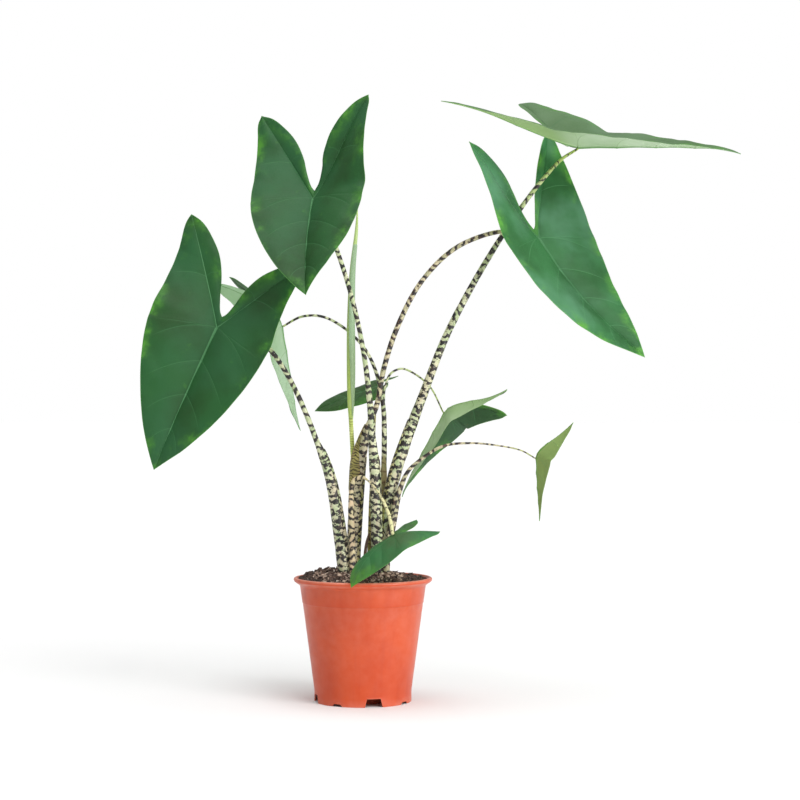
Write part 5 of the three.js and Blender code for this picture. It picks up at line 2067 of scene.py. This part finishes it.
STALKS = (
    Stalk(tip_radius=2.4, route=(
        (-20, -16, 140, 8), (-23, -18, 166, 8), (-30, -20, 221, 7.7), (-38, -24, 268, 6.5),
        (-48, -28, 300, 5.2), (-55, -30, 317, 3.5), (-64, -34, 341, 3.2), (-79, -38, 376, 3.1),
        (-97, -41, 409, 3), (-116, -44, 433, 2.9), (-144, -48, 449, 2.6),
    )),
    Stalk(tip_radius=2, route=(
        (17, -14, 140, 7), (17, -14, 171, 6.9), (16, -16, 233, 6.7), (14, -20, 292, 6.2),
        (11.3, -23, 322, 4.9), (10, -26, 351, 3.9), (2, -34, 421, 3), (-12, -40, 488, 2.8),
        (-30, -44, 546, 2.7), (-45, -50, 581, 2.4),
    )),
    Stalk(tip_radius=2, route=(
        (-12, 4, 140, 8.6), (-12, 4, 172, 8.6), (-10, 2, 218, 8.7), (-8, 2, 257, 9), (-5, 4, 295, 9),
        (3, 4, 325, 5.8), (10, 3, 344, 3.6), (17, 2, 362, 3.3), (26, 0, 408, 3.2), (44, -4, 461, 3.2),
        (71, -10, 511, 3), (110, -20, 550, 2.9), (155, -26, 569, 2.7), (187, -24, 571, 2.3),
    )),
    Stalk(tip_radius=1.5, route=(
        (26.5, 1, 140, 6.2), (26.5, 1, 170, 6.3), (28.5, -1, 227, 7.2), (39, 0, 276, 7.4),
        (54, 2, 321, 6.8), (77, 4, 383, 5.3), (102, 6, 446, 4.5), (134, 8, 508, 3.9),
        (172, 1, 571, 3.3), (211, -10, 626, 2.7), (242, -3, 661, 2),
    )),
    Stalk(tip_radius=1.2, route=(
        (21, 14, 140, 3.6), (23, 14, 171, 3.6), (25, 14, 263, 3.4), (26, 14, 327, 3.2),
        (25, 13, 356, 2.9), (18, 12, 395, 2.4), (3, 12, 429, 1.9), (-22, 13, 455, 1.7),
        (-50, 14, 470, 1.6), (-76, 16, 470, 1.5),
    )),
    Stalk(tip_radius=1.2, route=(
        (6, 24, 140, 2.6), (7, 25, 170, 2.5), (9, 32, 244, 2.1), (12, 48, 305, 1.8),
        (14, 66, 352, 1.5),
    )),
    Stalk(tip_radius=0.9, route=(
        (24, 21.5, 140, 2.2), (24.5, 21.5, 172, 2.2), (25, 21, 263, 1.9), (26.5, 21, 330, 1.6),
        (25.5, 20, 364, 1.4), (27, 19.5, 384, 1.4), (34, 18, 400, 1.4), (47, 18, 406, 1.3),
        (63, 20, 400, 1.2), (83, 26, 383, 1.1),
    )),
    Stalk(tip_radius=0.8, route=(
        (29, -13, 140, 3.4), (29, -13, 169, 3.6), (31, -13, 190, 4), (34, -12.5, 208, 4.3),
        (37, -12, 226, 4.4), (40, -12, 244, 4.2), (45, -11, 258, 3.3), (54, -9, 279, 2.5),
        (68, -9, 293, 2.1), (97, -10, 311, 1.7), (130, -12, 315, 1.3), (165, -14, 312, 1),
        (193, -17, 306, 0.9),
    )),
    Stalk(tip_radius=2, joins_above=True, route=(
        (-12.3, -25.5, 140, 3.7), (-12.3, -25.5, 186, 3.7), (-13.9, -24, 234, 3.5),
        (-13.3, -23, 259, 2.8), (-10.4, -22, 270, 2.6), (-2, -25, 274, 2.5), (3.5, -30, 272.5, 1.6),
        (7, -35, 270, 1.1), (13.2, -44, 264.5, 1.2), (22.5, -56, 252, 1.6), (31.5, -66, 232.5, 2.1),
        (35.3, -72, 217, 2.2),
    )),
)

SPEAR_STALK = (
    (-6, 19, 140, 3), (-6, 19, 172, 3), (-11, 18, 250, 2.8), (-13, 15, 302, 2.7), (-15, 4, 345, 2.6),
)
SPEAR = (
    (-15, 3, 345, 2.6), (-15, 2, 366, 4.1), (-15, 1, 404, 4.8), (-15, 2, 461, 4.6), (-13, 4, 527, 3.3),
    (-8, 6, 578, 1.8), (-7, 8, 606, 0.5),
)
DRY_STUB = ((2, -20, 140, 2.1), (3, -21, 181, 1.9), (5, -22, 195, 1.7), (8, -24, 206, 1.1))

LEAF_LOOKS = (
    LeafLook.DARK, LeafLook.DARK, LeafLook.FRESH, LeafLook.LIGHT, LeafLook.HANGING, LeafLook.SHADED,
    LeafLook.DULL, LeafLook.OLIVE, LeafLook.MIXED,
)
RIB_TONES = (1.0, 0.7, 0.3, 0.5, 0.5, 0.4, 0.9, 0.5, 0.3)

DRESSES = (
    Dress(),
    Dress(),
    Dress(StalkLook.ROSY),
    Dress(tip_from=0.72, tip_tone=0.9, tip_marked=0.72),
    Dress(tip_from=0.85, tip_tone=0.5),
    Dress(StalkLook.OLIVE, marked=0.9),
    Dress(marked=0.9, tip_from=0.6, tip_tone=0.7, tip_marked=0.75),
    Dress(StalkLook.ROSY, tip_tone=0.6),
    Dress(StalkLook.BLUSH, tip_from=0.42, tip_tone=1.0, tip_marked=0.62),
)

WINGS = (
    Wing("sheath_1", 0, 146, 308, 5, 62, drift=-10),
    Wing("sheath_2", 1, 146, 300, 5, 70, drift=15),
    Wing("sheath_3", 2, 252, 337, 205, 105, StalkLook.OLIVE, drift=-40, stand=0.7, fineness=3.0, slant=0.9,
         foot=0.35),
    Wing("sheath_3_low", 2, 146, 300, 20, 75, StalkLook.DUSKY, drift=-20, stand=0.3),
    # The fourth stalk's dusky sheath is a real sheath margin, and its darker colour also paints the shade on
    # that side of the stalk.
    Wing("sheath_4_and_shade", 3, 146, 343, 205, 60, StalkLook.DUSKY, drift=-15),
    Wing("sheath_5", 4, 146, 301, 270, 150, StalkLook.HUSK, lift=0.3),
    Wing("sheath_8", 7, 146, 252, 330, 110, StalkLook.ROSY),
)

BITS = (
    Bits("bark_crumbs", GrainLook.BARK, 900, 1.6, 6.0, (1.5, 1.0, 0.6), 3),
    Bits("bark_chunks", GrainLook.BARK, 46, 5.0, 10.0, (1.3, 1.0, 0.8), 11, spread=72.0),
    Bits("soil_crumbs", GrainLook.SOIL, 900, 1.4, 5.0, (1.1, 1.0, 0.8), 5),
    Bits("pale_chips", GrainLook.CHIPS, 620, 2.0, 6.4, (1.5, 1.0, 0.7), 7, spread=54.0, centre_x=-6.0,
         centre_y=-20.0),
    Bits("white_grit", GrainLook.GRIT, 90, 1.2, 3.2, (1.1, 1.0, 0.9), 9),
)


@dataclass
class Filling:
    """The pot and what fills it: soil, bark, crumbs, chips and grit."""

    finishes: Finishes

    def build(self) -> None:
        """Makes the pot, the soil and the bits on it."""
        Pot(self.finishes.pot).build()
        soil = Soil(self.finishes.get(GrainLook.SOIL))
        soil.build()
        for bits in BITS:
            bits.build(soil, self.finishes.get(bits.look))


@dataclass
class Spear:
    """The rolled young leaf on its pale stalk, with the free edge that winds down it."""

    finishes: Finishes
    stalk_sides: int = 24
    stalk_spacing: float = 3.2
    sides: int = 48
    roll_step: float = 0.22
    edge: Wing = Wing("rolled_leaf_edge", 0, 346, 560, -50, 75, GrainLook.SPEAR_EDGE, lift=0.6, stand=0.3,
                      hangs=True, marked=0.0)

    def build(self) -> None:
        """Makes the stalk, the roll and its edge."""
        stalk = Tube(np.array(SPEAR_STALK, float), X_AXIS, low_spacing=self.stalk_spacing,
                     high_spacing=self.stalk_spacing)
        stalk.skin(self.stalk_sides).to_object(
            "spear_stem", self.finishes.get(StalkLook.SPEAR), Slot.SPEAR, "spear_stalk")
        roll = Tube(np.array(SPEAR, float), X_AXIS).skin(self.sides, wrap=self.roll_step)
        roll.to_object("rolled_leaf", self.finishes.get(GrainLook.SPEAR), Slot.SPEAR, "spear")
        whole = Tube(np.array(SPEAR_STALK[:-1] + SPEAR, float), Y_AXIS)
        self.edge.build(whole, self.finishes.get(self.edge.look), Slot.SPEAR)


@dataclass
class Plant:
    """Nine leaves on their banded stalks, the sheaths, the rolled young leaf and the dry leaf base."""

    finishes: Finishes
    dry_sides: int = 16

    def build(self) -> None:
        """Makes every piece of the plant: leaves and stalks, sheaths, spear, dry leaf base."""
        tubes = self.leaves()
        for wing in WINGS:
            wing.build(tubes[wing.on], self.finishes.get(wing.look), Slot.STALK)
        Spear(self.finishes).build()
        dry = Tube(np.array(DRY_STUB, float)).skin(self.dry_sides)
        dry.to_object("dry_leaf_base", self.finishes.get(GrainLook.DRY), Slot.DRY_SHEATH, "dry_stub")

    def leaves(self) -> list[Tube]:
        """Makes each blade and its stalk.

        Returns:
            The stalks' stems, which the sheaths lie on.
        """
        tubes = []
        rows = zip(LEAVES, LEAF_LOOKS, RIB_TONES, STALKS, DRESSES)
        for number, (leaf, look, rib_tone, stalk, dress) in enumerate(rows, 1):
            Blade(number, leaf, self.finishes.get(look), rib_tone).build()
            stem = LeafStalk(number, stalk, leaf, dress, self.finishes.get(dress.look))
            stem.build()
            tubes.append(stem.tube())
        return tubes


def main() -> None:
    """Builds the studio, the pot and the plant."""
    logging.basicConfig(level=logging.INFO, format="%(name)s: %(message)s")
    Studio().build()
    finishes = Finishes()
    Filling(finishes).build()
    Plant(finishes).build()


if __name__ == "__main__":
    main()
